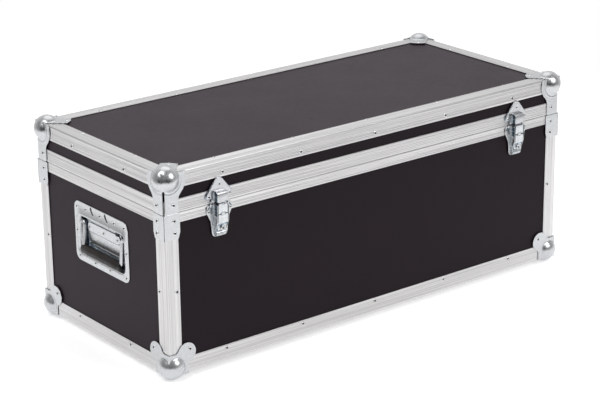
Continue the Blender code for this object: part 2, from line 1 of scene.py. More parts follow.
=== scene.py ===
"""The look of a lidded transport case: coated plywood in an aluminium edge frame.

Metres, +Z up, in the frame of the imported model. X runs along the length and the latches face -Y.
"""
import json
import math

import bmesh
import bpy
import numpy as np
from mathutils import Matrix, Vector


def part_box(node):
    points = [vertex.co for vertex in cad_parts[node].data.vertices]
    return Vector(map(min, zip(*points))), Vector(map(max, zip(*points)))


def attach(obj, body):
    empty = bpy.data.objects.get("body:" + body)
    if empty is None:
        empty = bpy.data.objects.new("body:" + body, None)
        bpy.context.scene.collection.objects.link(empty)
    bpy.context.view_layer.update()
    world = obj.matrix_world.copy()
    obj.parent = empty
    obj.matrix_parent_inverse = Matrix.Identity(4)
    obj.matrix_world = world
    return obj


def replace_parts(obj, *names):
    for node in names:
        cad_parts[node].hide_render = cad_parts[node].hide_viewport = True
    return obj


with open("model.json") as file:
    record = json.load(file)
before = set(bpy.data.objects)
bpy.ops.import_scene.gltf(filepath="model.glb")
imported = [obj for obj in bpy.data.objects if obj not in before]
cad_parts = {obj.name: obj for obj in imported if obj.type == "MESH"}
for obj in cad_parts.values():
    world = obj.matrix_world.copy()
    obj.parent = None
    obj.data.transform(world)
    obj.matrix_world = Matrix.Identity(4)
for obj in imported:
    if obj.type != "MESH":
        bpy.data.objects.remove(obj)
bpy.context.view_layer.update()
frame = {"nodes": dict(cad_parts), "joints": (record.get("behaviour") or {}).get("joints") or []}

# Places and sizes that the frame gives
JOINT_POS = {joint["name"]: Vector(joint.get("pos_m", (0, 0, 0))) for joint in frame["joints"]}
HALF_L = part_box("lid_closing_frame")[1].x
HALF_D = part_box("lid_closing_frame")[1].y
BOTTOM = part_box("bottom_angle_front")[0].z
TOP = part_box("lid_angle_front")[1].z
JOINT_Z = JOINT_POS["lid_hinge"].z
HINGE_Y = JOINT_POS["lid_hinge"].y
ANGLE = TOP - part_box("lid_angle_front")[0].z  # leg of the edge angles
LATCH_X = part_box("latch_strike_right")[1].x - 0.0292
KEY_Z = JOINT_POS["key_left_turn"].z

# Sizes of sheet and plate
SHEET = 0.0015
GAP = 0.0003
PLATE = 0.0016
ROUND_ANGLE = 50  # degrees below which the faces of round parts shade as one
BALL_RADIUS = 0.026
BALL_INSET = 0.014
BALL_FILLET = 0.0022  # where the ball meets its flanges

LEFT_RIGHT = (("left", -1), ("right", 1))
SIDES = {
    # outward normal of each upright side
    "front": Vector((0, -1, 0)),
    "back": Vector((0, 1, 0)),
    "left": Vector((-1, 0, 0)),
    "right": Vector((1, 0, 0)),
}
CORNERS = {
    "front_left": (-1, -1),
    "front_right": (1, -1),
    "back_left": (-1, 1),
    "back_right": (1, 1),
}


# ------------ materials


class Tree:
    """The shader nodes of a material or of the world."""

    def __init__(self, owner):
        owner.use_nodes = True
        self.nodes = owner.node_tree.nodes
        self.links = owner.node_tree.links

    def feed(self, socket, value):
        """Links a socket to a node's output, or sets it to a number or a colour."""
        if isinstance(value, bpy.types.NodeSocket):
            self.links.new(value, socket)
        else:
            socket.default_value = (*value, 1) if isinstance(value, tuple) else value

    def ramp(self, factor, stops, easing="LINEAR"):
        """Maps a factor through stops: (position, grey or colour)."""
        ramp = self.nodes.new("ShaderNodeValToRGB")
        ramp.color_ramp.interpolation = easing
        elements = ramp.color_ramp.elements
        while len(elements) < len(stops):
            elements.new(0.5)
        for element, (position, value) in zip(elements, stops):
            element.position = position
            element.color = (*value, 1) if isinstance(value, tuple) else (value, value, value, 1)
        self.feed(ramp.inputs["Fac"], factor)
        return ramp.outputs["Color"]

    def mix(self, factor, first, second):
        node = self.nodes.new("ShaderNodeMix")
        node.data_type = "RGBA"
        factor_index, first_index, second_index = 0, 6, 7
        for index, value in ((factor_index, factor), (first_index, first), (second_index, second)):
            self.feed(node.inputs[index], value)
        return node.outputs[2]


class Recipe(Tree):
    """A material under construction: a Principled shader and the nodes that feed it."""

    def __init__(self, name, colour, roughness, metallic=0.0):
        self.material = bpy.data.materials.new(name)
        super().__init__(self.material)
        self.shader = self.nodes["Principled BSDF"]
        self.set("Base Color", colour)
        self.set("Roughness", roughness)
        self.set("Metallic", metallic)
        self.coordinates = self.nodes.new("ShaderNodeTexCoord").outputs["Object"]

    def set(self, name, value):
        self.feed(self.shader.inputs[name], value)

    def noise(self, scale, detail=3.0, roughness=0.55, stretch=(1, 1, 1)):
        mapping = self.nodes.new("ShaderNodeMapping")
        mapping.inputs["Scale"].default_value = stretch
        self.feed(mapping.inputs["Vector"], self.coordinates)
        noise = self.nodes.new("ShaderNodeTexNoise")
        noise.inputs["Scale"].default_value = scale
        noise.inputs["Detail"].default_value = detail
        noise.inputs["Roughness"].default_value = roughness
        self.feed(noise.inputs["Vector"], mapping.outputs["Vector"])
        return noise.outputs["Fac"]

    def cells(self, scale):
        cells = self.nodes.new("ShaderNodeTexVoronoi")
        cells.inputs["Scale"].default_value = scale
        self.feed(cells.inputs["Vector"], self.coordinates)
        return cells.outputs["Distance"]

    def colour(self, output):
        self.set("Base Color", output)

    def roughness(self, output):
        self.set("Roughness", output)

    def bump(self, height, distance):
        """Adds a bump over the ones before it. Distance is the height in metres of a full step."""
        bump = self.nodes.new("ShaderNodeBump")
        bump.inputs["Distance"].default_value = distance
        self.feed(bump.inputs["Height"], height)
        normal = self.shader.inputs["Normal"]
        if normal.is_linked:
            self.feed(bump.inputs["Normal"], normal.links[0].from_socket)
        self.feed(normal, bump.outputs["Normal"])


def make_film():
    """Phenolic film on birch ply: dark brown, satin, with a faint grain telegraphed through."""
    film = Recipe("film_coated_ply", (0.016, 0.012, 0.012), 0.42)
    film.set("Specular IOR Level", 0.13)
    film.set("Specular Tint", (1.0, 0.90, 0.96))
    film.set("Sheen Weight", 0.05)
    film.set("Sheen Roughness", 0.45)
    film.set("Sheen Tint", (1.0, 0.45, 0.95))
    cloud = film.noise(9, 4)
    grain = film.noise(60, 5, 0.6, (1, 6, 6))
    speck = film.noise(900, 2)
    tone = film.ramp(cloud, [(0.35, (0.0058, 0.0032, 0.0044)), (0.7, (0.0074, 0.0042, 0.0056))])
    tone = film.mix(film.ramp(speck, [(0.45, 0.0), (0.75, 0.35)]), tone, (0.011, 0.0065, 0.0078))
    film.colour(tone)
    smooth = film.ramp(cloud, [(0.3, 0.38), (0.75, 0.47)])
    film.roughness(film.mix(0.5, smooth, film.ramp(grain, [(0.3, 0.36), (0.7, 0.48)])))
    film.bump(speck, 0.00002)
    film.bump(grain, 0.00003)
    return film.material


def make_aluminium(axis):
    """Extruded aluminium with die lines along its length."""
    run = [700.0, 700.0, 700.0]
    run[axis] = 2.5
    broad = [120.0, 120.0, 120.0]
    broad[axis] = 1.2
    metal = Recipe("extruded_aluminium_" + "xyz"[axis], (0.80, 0.79, 0.78), 0.34, 1.0)
    fine = metal.noise(1.0, 3, 0.6, tuple(run))
    bands = metal.noise(1.0, 2, 0.5, tuple(broad))
    cloud = metal.noise(14, 3)
    tone = metal.ramp(fine, [(0.33, (0.43, 0.425, 0.427)), (0.60, (0.735, 0.725, 0.729))])
    tone = metal.mix(0.35, tone, metal.ramp(bands, [(0.3, (0.52, 0.51, 0.52)), (0.7, (0.80, 0.79, 0.794))]))
    metal.colour(tone)
    streaks = metal.ramp(fine, [(0.3, 0.44), (0.7, 0.26)])
    metal.roughness(metal.mix(0.4, streaks, metal.ramp(cloud, [(0.3, 0.28), (0.7, 0.42)])))
    metal.bump(fine, 0.00004)
    metal.bump(bands, 0.00012)
    return metal.material


def make_zinc():
    """Pressed steel with bright zinc plating: faintly mottled, with hairline scuffs."""
    metal = Recipe("zinc_plated_steel", (0.74, 0.77, 0.80), 0.2, 1.0)
    mottle = metal.noise(230, 4, 0.6)
    bloom = metal.noise(16, 3)
    scuffs = metal.noise(30, 3, 0.6, (1, 14, 3))
    tone = metal.ramp(mottle, [(0.33, (0.535, 0.545, 0.560)), (0.70, (0.620, 0.630, 0.645))])
    tone = metal.mix(metal.ramp(bloom, [(0.4, 0.0), (0.8, 0.5)]), tone, (0.56, 0.58, 0.60))
    metal.colour(tone)
    shine = metal.ramp(mottle, [(0.3, 0.26), (0.75, 0.36)])
    metal.roughness(metal.mix(0.5, shine, metal.ramp(scuffs, [(0.4, 0.24), (0.8, 0.42)])))
    metal.bump(mottle, 0.00002)
    metal.bump(scuffs, 0.00002)
    return metal.material


def make_painted_highlight_zinc():
    """A lighter, glossier copy of the zinc, as painted highlight: the latches' wings and the housings' ear
    curls.
    """
    metal = Recipe("zinc_painted_highlight", (0.84, 0.87, 0.9), 0.25, 1.0)
    mottle = metal.noise(120, 3)
    scuffs = metal.noise(40, 3, 0.6, (1, 10, 2))
    metal.colour(metal.ramp(mottle, [(0.3, (0.53, 0.55, 0.57)), (0.7, (0.66, 0.68, 0.70))]))
    metal.roughness(metal.ramp(scuffs, [(0.35, 0.18), (0.75, 0.34)]))
    metal.bump(mottle, 0.00002)
    return metal.material


def make_painted_shade_zinc(name, tones, bloom):
    """Darker, bluish copies of the zinc for the walls and hollows of the fittings: painted shade and
    painted reflection, in upright bands.
    """
    metal = Recipe(name, tones[1], 0.3, 1.0)
    bands = metal.noise(1.0, 2, 0.5, (330, 330, 6))
    mottle = metal.noise(90, 3)
    tone = metal.ramp(bands, list(zip((0.36, 0.50, 0.66), tones)))
    metal.colour(metal.mix(metal.ramp(mottle, [(0.4, 0.0), (0.8, 0.4)]), tone, bloom))
    metal.roughness(metal.ramp(mottle, [(0.3, 0.24), (0.7, 0.38)]))
    metal.bump(mottle, 0.00004)
    metal.bump(bands, 0.00005)
    return metal.material


# Painted shade and painted reflection tones, each dark to light: for side walls, for grey banded strips and
# for the deepest shade
WALL_SHADE_TONES = [(0.12, 0.16, 0.20), (0.32, 0.39, 0.46), (0.66, 0.73, 0.80)]
BAND_SHADE_TONES = [(0.34, 0.36, 0.38), (0.54, 0.56, 0.58), (0.72, 0.74, 0.76)]
DEEP_SHADE_TONES = [(0.025, 0.038, 0.052), (0.065, 0.100, 0.130), (0.20, 0.26, 0.32)]


def make_speckled(name, colour, roughness, metallic, scale, tones, shine, depth):
    """A plain material with a fine speckle in its tone, its roughness and its surface."""
    ends = (0.3, 0.7)
    plain = Recipe(name, colour, roughness, metallic)
    speck = plain.noise(scale, 3)
    plain.colour(plain.ramp(speck, list(zip(ends, tones))))
    plain.roughness(plain.ramp(speck, list(zip(ends, shine))))
    plain.bump(speck, depth)
    return plain.material


def make_rubber():
    """Moulded grip: dark brown-black, softly shining, with a fine pebbled skin."""
    rubber = Recipe("grip_rubber", (0.016, 0.013, 0.012), 0.42)
    rubber.set("Specular IOR Level", 0.3)
    pebbles = rubber.cells(520)
    cloud = rubber.noise(40, 3)
    rubber.colour(rubber.ramp(cloud, [(0.3, (0.011, 0.0075, 0.0075)), (0.7, (0.020, 0.0145, 0.0145))]))
    rubber.roughness(rubber.ramp(pebbles, [(0.1, 0.36), (0.6, 0.5)]))
    rubber.bump(pebbles, 0.00006)
    rubber.bump(cloud, 0.0001)
    return rubber.material


def make_floor_material():
    floor = Recipe("pale_floor", (0.86, 0.86, 0.86), 0.9)
    cloud = floor.noise(2.0, 2)
    floor.colour(floor.ramp(cloud, [(0.3, (0.850, 0.850, 0.852)), (0.7, (0.865, 0.865, 0.866))]))
    floor.set("Emission Color", (1, 1, 1))
    floor.set("Emission Strength", 0.42)
    return floor.material


# ------------ mesh helpers


def add_object(name, data):
    obj = bpy.data.objects.new(name, data)
    bpy.context.scene.collection.objects.link(obj)
    return obj


def piece(name, mesh, material, body, place=None):
    """A finished piece on its body. Several materials go to the mesh's slots in order."""
    obj = add_object(name, mesh)
    for entry in material if isinstance(material, list) else [material]:
        mesh.materials.append(entry)
    if place is not None:
        obj.matrix_world = place
    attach(obj, body)
    return obj


def shaded(mesh, smooth_angle):
    """Smooth shading, with edges sharper than the angle in degrees left as edges."""
    mesh.shade_smooth()
    mesh.set_sharp_from_angle(angle=math.radians(smooth_angle))
    return mesh


def finish_mesh(name, bm, smooth_angle=35):
    bmesh.ops.recalc_face_normals(bm, faces=bm.faces)
    mesh = bpy.data.meshes.new(name)
    bm.to_mesh(mesh)
    bm.free()
    return shaded(mesh, smooth_angle)


def soften(obj, width, segments=2, angle=30):
    """Rounded edges, as a modifier."""
    bevel = obj.modifiers.new("soften", "BEVEL")
    bevel.width = width
    bevel.segments = segments
    bevel.limit_method = "ANGLE"
    bevel.angle_limit = math.radians(angle)
    bevel.harden_normals = True
    return obj


def arc(centre, radius, start, end, steps):
    """Points of an arc, angles in degrees."""
    angles = [math.radians(start + (end - start) * i / steps) for i in range(steps + 1)]
    return [(centre[0] + radius * math.cos(a), centre[1] + radius * math.sin(a)) for a in angles]


def quarter(u, v, radius, start, steps=3):
    """A quarter round, anticlockwise from its first angle in degrees."""
    return arc((u, v), radius, start, start + 90, steps)


def rounded_rectangle(size, radius, middle=(0.0, 0.0), steps=6):
    half_u = size[0] / 2 - radius
    half_v = size[1] / 2 - radius
    corners = [(half_u, half_v), (-half_u, half_v), (-half_u, -half_v), (half_u, -half_v)]
    points = []
    for turn, (u, v) in enumerate(corners):
        points += arc((middle[0] + u, middle[1] + v), radius, turn * 90, turn * 90 + 90, steps)
    return points


def mirrored(half):
    """A whole outline from its right half, listed from top to bottom."""
    return half + [(-u, v) for u, v in reversed(half) if u > 0]


def plate(name, outline, thickness):
    """Flat plate from z = 0 to its thickness."""
    curve = bpy.data.curves.new(name, "CURVE")
    curve.dimensions = "2D"
    curve.fill_mode = "BOTH"
    curve.extrude = thickness / 2
    spline = curve.splines.new("POLY")
    spline.points.add(len(outline) - 1)
    for point, (u, v) in zip(spline.points, outline):
        point.co = (u, v, 0, 1)
    spline.use_cyclic_u = True
    guide = add_object(name, curve)
    bpy.context.view_layer.update()
    evaluated = guide.evaluated_get(bpy.context.evaluated_depsgraph_get())
    mesh = bpy.data.meshes.new_from_object(evaluated)
    bpy.data.objects.remove(guide)
    bm = bmesh.new()
    bm.from_mesh(mesh)
    merge_within, flat_angle = 0.000005, 0.0001
    bmesh.ops.remove_doubles(bm, verts=bm.verts, dist=merge_within)
    flat = [e for e in bm.edges if e.calc_face_angle(1.0) < flat_angle]
    bmesh.ops.dissolve_edges(bm, edges=flat, use_verts=False)
    bmesh.ops.translate(bm, vec=(0, 0, thickness / 2), verts=bm.verts)
    return finish_mesh(name, bm, 30)


def flat_piece(name, outline, thickness, material, body, place):
    return piece(name, plate(name, outline, thickness), material, body, place)


def shifted(place, u, v, out):
    return place @ Matrix.Translation((u, v, out))


def side_matrix(side, out=0.0, along=0.0, up=0.0):
    """Places a plate on a side: its Y runs up the side, its Z out of it, its X to the viewer's right."""
    normal = SIDES[side]
    across = Vector((0, 0, 1)).cross(normal)
    reach = HALF_D if side in ("front", "back") else HALF_L
    rotation = Matrix((across, (0, 0, 1), normal)).transposed().to_4x4()
    return Matrix.Translation(normal * (reach + out) + across * along + Vector((0, 0, up))) @ rotation


def revolve(profile, segments, material_of=None):
    """Turns a profile of (radius, z) about Z. Points on the axis have radius 0."""
    bm = bmesh.new()
    rings = []
    for radius, z in profile:
        if radius == 0:
            rings.append([bm.verts.new((0, 0, z))])
            continue
        turns = [2 * math.pi * i / segments for i in range(segments)]
        rings.append([bm.verts.new((radius * math.cos(t), radius * math.sin(t), z)) for t in turns])
    for index, (low, high) in enumerate(zip(rings, rings[1:])):
        for i in range(segments):
            after = (i + 1) % segments
            corners = [low[i % len(low)], low[after % len(low)]]
            corners += [high[after % len(high)], high[i % len(high)]]
            face = bm.faces.new(list(dict.fromkeys(corners)))
            face.material_index = material_of(index) if material_of else 0
    return bm


def close_holes(bm):
    rims = [e for e in bm.edges if e.is_boundary]
    bmesh.ops.holes_fill(bm, edges=rims, sides=64)


def rod_between(bm, start, end, radius, segments):
    """Adds a closed cylinder to a bmesh."""
    start, end = Vector(start), Vector(end)
    turn = (end - start).to_track_quat("Z", "Y").to_matrix().to_4x4()
    place = Matrix.Translation((start + end) / 2) @ turn
    bmesh.ops.create_cone(
        bm, cap_ends=True, segments=segments, radius1=radius, radius2=radius,
        depth=(end - start).length, matrix=place,
    )


def add_box(bm, size, middle):
    """Adds a box to a bmesh."""
    verts = bmesh.ops.create_cube(bm, size=1)["verts"]
    bmesh.ops.scale(bm, vec=size, verts=verts)
    bmesh.ops.translate(bm, vec=middle, verts=verts)


def loft(rings):
    """Closed body through rings of equally many points, flat at both ends."""
    bm = bmesh.new()
    loops = [[bm.verts.new(point) for point in ring] for ring in rings]
    for low, high in zip(loops, loops[1:]):
        for i in range(len(low)):
            after = (i + 1) % len(low)
            bm.faces.new((low[i], low[after], high[after], high[i]))
    bm.faces.new(loops[0])
    bm.faces.new(loops[-1])
    return bm


def block(name, side_profile, half_width, smooth_angle=30):
    """A solid from its side view: points are (v, out), extruded across."""
    ends = [[(sign * half_width, v, out) for v, out in side_profile] for sign in (-1, 1)]
    return finish_mesh(name, loft(ends), smooth_angle)


def run_at(points, i):
    """From the point before to the point after, or to the point itself at an end."""
    return points[min(i + 1, len(points) - 1)] - points[max(i - 1, 0)]


def swept_sheet(name, profile, half_width, thickness):
    """A bent sheet: profile points are (v, depth) of its face, extruded across."""
    points = [Vector((v, -depth)) for v, depth in profile]
    offsets = []
    for i, point in enumerate(points):
        run = run_at(points, i)
        offsets.append(point + Vector((run.y, -run.x)).normalized() * -thickness)
    return block(name, points + offsets[::-1], half_width, 35)


def tube(name, points, radius, segments):
    """Closed round tube along a chain of points."""
    points = [Vector(p) for p in points]
    turns = [2 * math.pi * k / segments for k in range(segments)]
    across = Vector((0, 0, 1))
    rings = []
    for i, point in enumerate(points):
        up = across.cross(run_at(points, i).normalized()).normalized()
        rings.append([point + radius * (math.cos(t) * up + math.sin(t) * across) for t in turns])
    return finish_mesh(name, loft(rings), ROUND_ANGLE)


# ------------ extrusions

ANGLE_GROOVES = [0.0065 + 0.0028 * i for i in range(7)]
GROOVE_HALF_WIDTH = 0.0005
GROOVE_DEPTH = 0.00017
EDGE_ROUND = 0.0024
SMOOTH_BAR = 25  # degrees below which a bar's faces shade as one


def grooved(start, end, along_u, grooves):
    """Points of a profile's outer face from start to end, with shallow V grooves at given places."""
    points = []
    for middle in sorted(grooves, reverse=end < start):
        for offset, sink in ((-GROOVE_HALF_WIDTH, 0.0), (0.0, GROOVE_DEPTH), (GROOVE_HALF_WIDTH, 0.0)):
            place = middle + (offset if end > start else -offset)
            points.append((place, sink) if along_u else (sink, place))
    return points


def angle_profile():
    """L section, (inward, up) from the outer edge: round outside, grooved faces, rounded toes."""
    toe = 0.0006
    root = 0.001
    points = quarter(ANGLE - toe, toe, toe, -90) + quarter(ANGLE - toe, SHEET - toe, toe, 0)
    points += arc((SHEET + root, SHEET + root), root, 270, 180, 3)
    points += quarter(SHEET - toe, ANGLE - toe, toe, 0) + quarter(toe, ANGLE - toe, toe, 90)
    points += grooved(ANGLE, EDGE_ROUND, False, ANGLE_GROOVES)
    points += quarter(EDGE_ROUND, EDGE_ROUND, EDGE_ROUND, 180, 6)
    points += grooved(EDGE_ROUND, ANGLE, True, ANGLE_GROOVES)
    return points


def mitred_bar(name, profile, half_length):
    """A bar along X with mitred ends, from a profile of (inward, up), outside towards +Y."""
    half_gap = 0.0002
    ends = [[(sign * (half_length - u - half_gap), -u, v) for u, v in profile] for sign in (-1, 1)]
    return finish_mesh(name, loft(ends), SMOOTH_BAR)


QUARTER_TURNS = {"back": 0, "left": 90, "front": 180, "right": 270}


def bar_round_case(prefix, profile, height, body, replaced):
    """Four mitred bars round the case. The replaced node's name may hold the side."""
    for side, turn in QUARTER_TURNS.items():
        along_x = side in ("front", "back")
        half_length = HALF_L if along_x else HALF_D
        reach = HALF_D if along_x else HALF_L
        rotation = Matrix.Rotation(math.radians(turn), 4, "Z")
        place = Matrix.Translation((0, 0, height)) @ rotation @ Matrix.Translation((0, reach, 0))
        mesh = mitred_bar(prefix + side, profile, half_length)
        mesh.transform(place)
        material = ALUMINIUM[0] if along_x else ALUMINIUM[1]
        bar = piece(prefix + side, mesh, material, body)
        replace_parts(bar, replaced.format(side=side))


def make_edge_angles():
    profile = angle_profile()
    flipped = [(u, -v) for u, v in profile]
    bar_round_case("bottom_edge_", profile, BOTTOM, "base", "bottom_angle_{side}")
    bar_round_case("lid_edge_", flipped, TOP, "lid", "lid_angle_{side}")


def make_posts():
    profile = angle_profile()
    for corner, (sign_x, sign_y) in CORNERS.items():
        node = "corner_post_" + corner
        ends = [[(sign_x * (HALF_L - u), sign_y * (HALF_D - v), end.z) for u, v in profile]
                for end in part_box(node)]
        mesh = finish_mesh("post_" + corner, loft(ends), SMOOTH_BAR)
        post = piece("post_" + corner, mesh, ALUMINIUM[2], "base")
        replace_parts(post, node)


def make_closing_frames():
    """Tongue on the base and groove in the lid, with bands outside that meet at the split."""
    base_band = JOINT_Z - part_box("base_closing_frame")[0].z
    lid_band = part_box("lid_closing_frame")[1].z - JOINT_Z
    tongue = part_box("base_closing_frame")[1].z - JOINT_Z
    tongue_out, tongue_in = 0.0056, 0.0082
    groove_out, groove_in, groove_top = 0.0045, 0.0093, tongue + 0.0013
    edge = 0.0006
    slot_side = 0.0111  # far side of the slots that hold the panels
    inside = 0.0129
    base_slot, base_lip = -0.004, -0.014
    base_profile = [(SHEET, -base_band), (SHEET, base_slot), (slot_side, base_slot), (slot_side, base_lip)]
    base_profile += quarter(inside - edge, base_lip + edge, edge, -90)
    base_profile += quarter(inside - edge, -edge, edge, 0) + [(tongue_in, 0)]
    base_profile += quarter(tongue_in - edge, tongue - edge, edge, 0)
    base_profile += quarter(tongue_out + edge, tongue - edge, edge, 90) + [(tongue_out, 0)]
    base_profile += quarter(edge, -edge, edge, 90)
    base_profile += grooved(0.0, -base_band, False, [-base_band + 0.0045 + 0.0030 * i for i in range(4)])
    base_profile += quarter(edge, -base_band + edge, edge, 180)
    low = 0.0004
    lid_slot, lid_lip = 0.007, 0.016
    lid_profile = quarter(edge, low + edge, edge, 180)
    lid_profile += [(groove_out, low), (groove_out, groove_top), (groove_in, groove_top), (groove_in, low)]
    lid_profile += quarter(inside - edge, low + edge, edge, -90)
    lid_profile += quarter(inside - edge, lid_lip - edge, edge, 0)
    lid_profile += [(slot_side, lid_lip), (slot_side, lid_slot), (SHEET, lid_slot), (SHEET, lid_band)]
    lid_profile += quarter(edge, lid_band - edge, edge, 90)
    lid_profile += grooved(lid_band, low + edge, False, [0.0050 + 0.0030 * i for i in range(6)])
    bar_round_case("base_closing_", base_profile, JOINT_Z, "base", "base_closing_frame")
    bar_round_case("lid_closing_", lid_profile, JOINT_Z, "lid", "lid_closing_frame")


# ------------ pressed ball corners


def surface_net(distance, low, high, cell):
    """Closed quad mesh of the surface where a distance function is zero, as vertices and faces."""
    axes = [np.arange(a, b + cell, cell) for a, b in zip(low, high)]
    grid = np.stack(np.meshgrid(*axes, indexing="ij"), axis=-1)
    field = distance(grid)
    size = np.array(field.shape) - 1

    def at(values, corner):
        window = tuple(slice(c, c + n) for c, n in zip(corner, size))
        return values[window]

    corners = [(i, j, k) for i in (0, 1) for j in (0, 1) for k in (0, 1)]
    filled = sum(at(field < 0, corner).astype(int) for corner in corners)
    active = (filled > 0) & (filled < 8)
    number = np.full(active.shape, -1)
    number[active] = np.arange(active.sum())
    total = np.zeros((active.sum(), 3))
    hits = np.zeros((active.sum(), 1))
    for first in corners:
        for second in corners:
            if sum(second) - sum(first) != 1 or sum(abs(a - b) for a, b in zip(first, second)) != 1:
                continue
            a, b = at(field, first)[active], at(field, second)[active]
            p, q = at(grid, first)[active], at(grid, second)[active]
            crossing = (a < 0) != (b < 0)
            share = np.where(crossing, a / np.where(crossing, a - b, 1.0), 0.0)[:, None]
            total += np.where(crossing[:, None], p + share * (q - p), 0.0)
            hits += crossing[:, None]
    verts = total / hits
    faces = []
    for axis in range(3):
        next_axis, last_axis = (axis + 1) % 3, (axis + 2) % 3
        step = np.eye(3, dtype=int)
        inner = [slice(1, -1)] * 3
        inner[axis] = slice(0, -1)
        outer = list(inner)
        outer[axis] = slice(1, None)
        here = (field < 0)[tuple(inner)]
        there = (field < 0)[tuple(outer)]
        offset = np.array([1, 1, 1]) - step[axis]
        for rising in (True, False):
            places = np.argwhere(here & ~there if rising else there & ~here) + offset
            ring = [places, places - step[next_axis], places - step[next_axis] - step[last_axis],
                    places - step[last_axis]]
            quads = np.stack([number[tuple(r.T)] for r in ring], axis=1)
            faces.append(quads if rising else quads[:, ::-1])
    pulls = 4
    for _ in range(pulls):
        verts = verts - pull_to_surface(distance, verts, cell)
    return verts, np.concatenate(faces)


def pull_to_surface(distance, verts, cell):
    """The step that takes each vertex onto the surface, at most a third of a cell."""
    reach = cell * 0.05
    least_slope, least_step = 0.25, 1e-9
    steps = np.eye(3) * reach
    slope = np.stack([distance(verts + s) - distance(verts - s) for s in steps], axis=1) / (2 * reach)
    length = np.maximum((slope ** 2).sum(axis=1, keepdims=True), least_slope)
    move = distance(verts)[:, None] * slope / length
    size = np.linalg.norm(move, axis=1, keepdims=True)
    return move * np.minimum(1.0, cell / 3 / np.maximum(size, least_step))


def smooth_least(first, second, width):
    """The lesser of two distances, with a fillet of about that width where they meet."""
    share = np.clip(0.5 + 0.5 * (second - first) / width, 0, 1)
    return second + (first - second) * share - width * share * (1 - share)


def box_distance(u, v, low, high, radius):
    """Distance to a rectangle with rounded corners."""
    middle = (np.array(low) + np.array(high)) / 2
    half = (np.array(high) - np.array(low)) / 2 - radius
    du = np.abs(u - middle[0]) - half[0]
    dv = np.abs(v - middle[1]) - half[1]
    return np.hypot(np.maximum(du, 0), np.maximum(dv, 0)) + np.minimum(np.maximum(du, dv), 0) - radius


def pressed(outline, first, second, out, thickness):
    """A sheet with that outline distance over one face of the case, which ends at the face's edges."""
    rounding = 0.0004
    outline = np.maximum(outline, np.maximum(-first, -second) - GAP - thickness)
    depth = np.abs(out + GAP + thickness / 2) - thickness / 2 + rounding
    rim = outline + rounding
    outside = np.hypot(np.maximum(rim, 0), np.maximum(depth, 0))
    return outside + np.minimum(np.maximum(rim, depth), 0) - rounding


def ball_distance(p):
    return np.sqrt(((p - BALL_INSET) ** 2).sum(axis=-1)) - BALL_RADIUS


def with_ring(distance, first, second, out):
    """Adds the raised ring that is pressed round the ball on one face."""
    ring_radius, half_width, height, fillet = 0.0266, 0.0011, 0.0003, 0.0006
    ring_line = np.abs(np.hypot(first - BALL_INSET, second - BALL_INSET) - ring_radius) - half_width
    return smooth_least(distance, pressed(ring_line, first, second, out, PLATE + height), fillet)


def clear_of_frame(distance, p):
    return np.maximum(distance, p.min(axis=-1) + GAP)


def base_corner_distance(p):
    """Three-lobed corner. The coordinates run inward from the case's three faces."""
    u, v, w = p[..., 0], p[..., 1], p[..., 2]
    start, root_reach, root_radius = -0.01, 0.043, 0.002
    lobe_inset, lobe_radius, fillet = 0.0395, 0.0205, 0.005
    result = ball_distance(p)
    for first, second, out in ((u, w, v), (v, w, u), (u, v, w)):
        root = box_distance(first, second, (start, start), (root_reach, root_reach), root_radius)
        lobe = np.hypot(first - lobe_inset, second - lobe_inset) - lobe_radius
        outline = smooth_least(root, lobe, fillet)
        result = smooth_least(result, pressed(outline, first, second, out, PLATE), BALL_FILLET)
        result = with_ring(result, first, second, out)
    return clear_of_frame(result, p)


def lid_corner_distance(p):
    """Corner with a leg down each upright face to the split, a slot between the legs and a top lobe."""
    u, v, w = p[..., 0], p[..., 1], p[..., 2]
    result = ball_distance(p)
    foot = TOP - JOINT_Z - 0.00025
    disc_radius, shoulder_reach, leg_reach, fillet = 0.0348, 0.0478, 0.0318, 0.008
    for first, out in ((u, v), (v, u)):
        disc = np.hypot(first - BALL_INSET, w - BALL_INSET) - disc_radius
        shoulder = box_distance(first, w, (-0.01, -0.01), (shoulder_reach, 0.014), 0.002)
        leg = box_distance(first, w, (-0.01, 0.01), (leg_reach, foot), 0.005)
        outline = smooth_least(np.minimum(disc, shoulder), leg, fillet)
        result = smooth_least(result, pressed(outline, first, w, out, PLATE), BALL_FILLET)
        result = with_ring(result, first, w, out)
    # The top lobe is a blunt arrow along the diagonal: two long sides and two short ends
    side = np.maximum(0.759 * u - 0.653 * v, 0.759 * v - 0.653 * u) - 0.0215
    end = np.maximum(0.837 * u + 0.548 * v, 0.837 * v + 0.548 * u) - 0.0672
    lobe = np.maximum(side, end)
    result = smooth_least(result, pressed(lobe, u, v, w, PLATE), BALL_FILLET)
    slot_half_width, slot_top = 0.0017, 0.0312
    slot = np.maximum(np.maximum(u, v) - slot_half_width, slot_top - w)
    return clear_of_frame(np.maximum(result, -slot), p)


def corner_meshes():
    """Vertices and faces of both pressings, measured inward from the case's faces."""
    cell = 0.0011
    margin = -0.0145
    base = surface_net(base_corner_distance, (margin,) * 3, (0.064,) * 3, cell)
    lid = surface_net(lid_corner_distance, (margin,) * 3, (0.066, 0.066, 0.082), cell)
    return base, lid


def place_corner(name, net, sign_x, sign_y, edge_z, into_z):
    verts, faces = net
    scale = np.array([-sign_x, -sign_y, into_z], float)
    corner = np.array([sign_x * HALF_L, sign_y * HALF_D, edge_z])
    if scale.prod() < 0:
        faces = faces[:, ::-1]
    mesh = bpy.data.meshes.new(name)
    mesh.from_pydata((verts * scale + corner).tolist(), [], faces.tolist())
    return shaded(mesh, ROUND_ANGLE)


def make_ball_corners():
    nets = corner_meshes()
    for corner, (sign_x, sign_y) in CORNERS.items():
        for body, net, edge_z, into_z in zip(("base", "lid"), nets, (BOTTOM, TOP), (1, -1)):
            mesh = place_corner(body + "_ball_" + corner, net, sign_x, sign_y, edge_z, into_z)
            ball = piece(mesh.name, mesh, ZINC, body)
            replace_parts(ball, body + "_ball_corner_" + corner)


# ------------ rivets


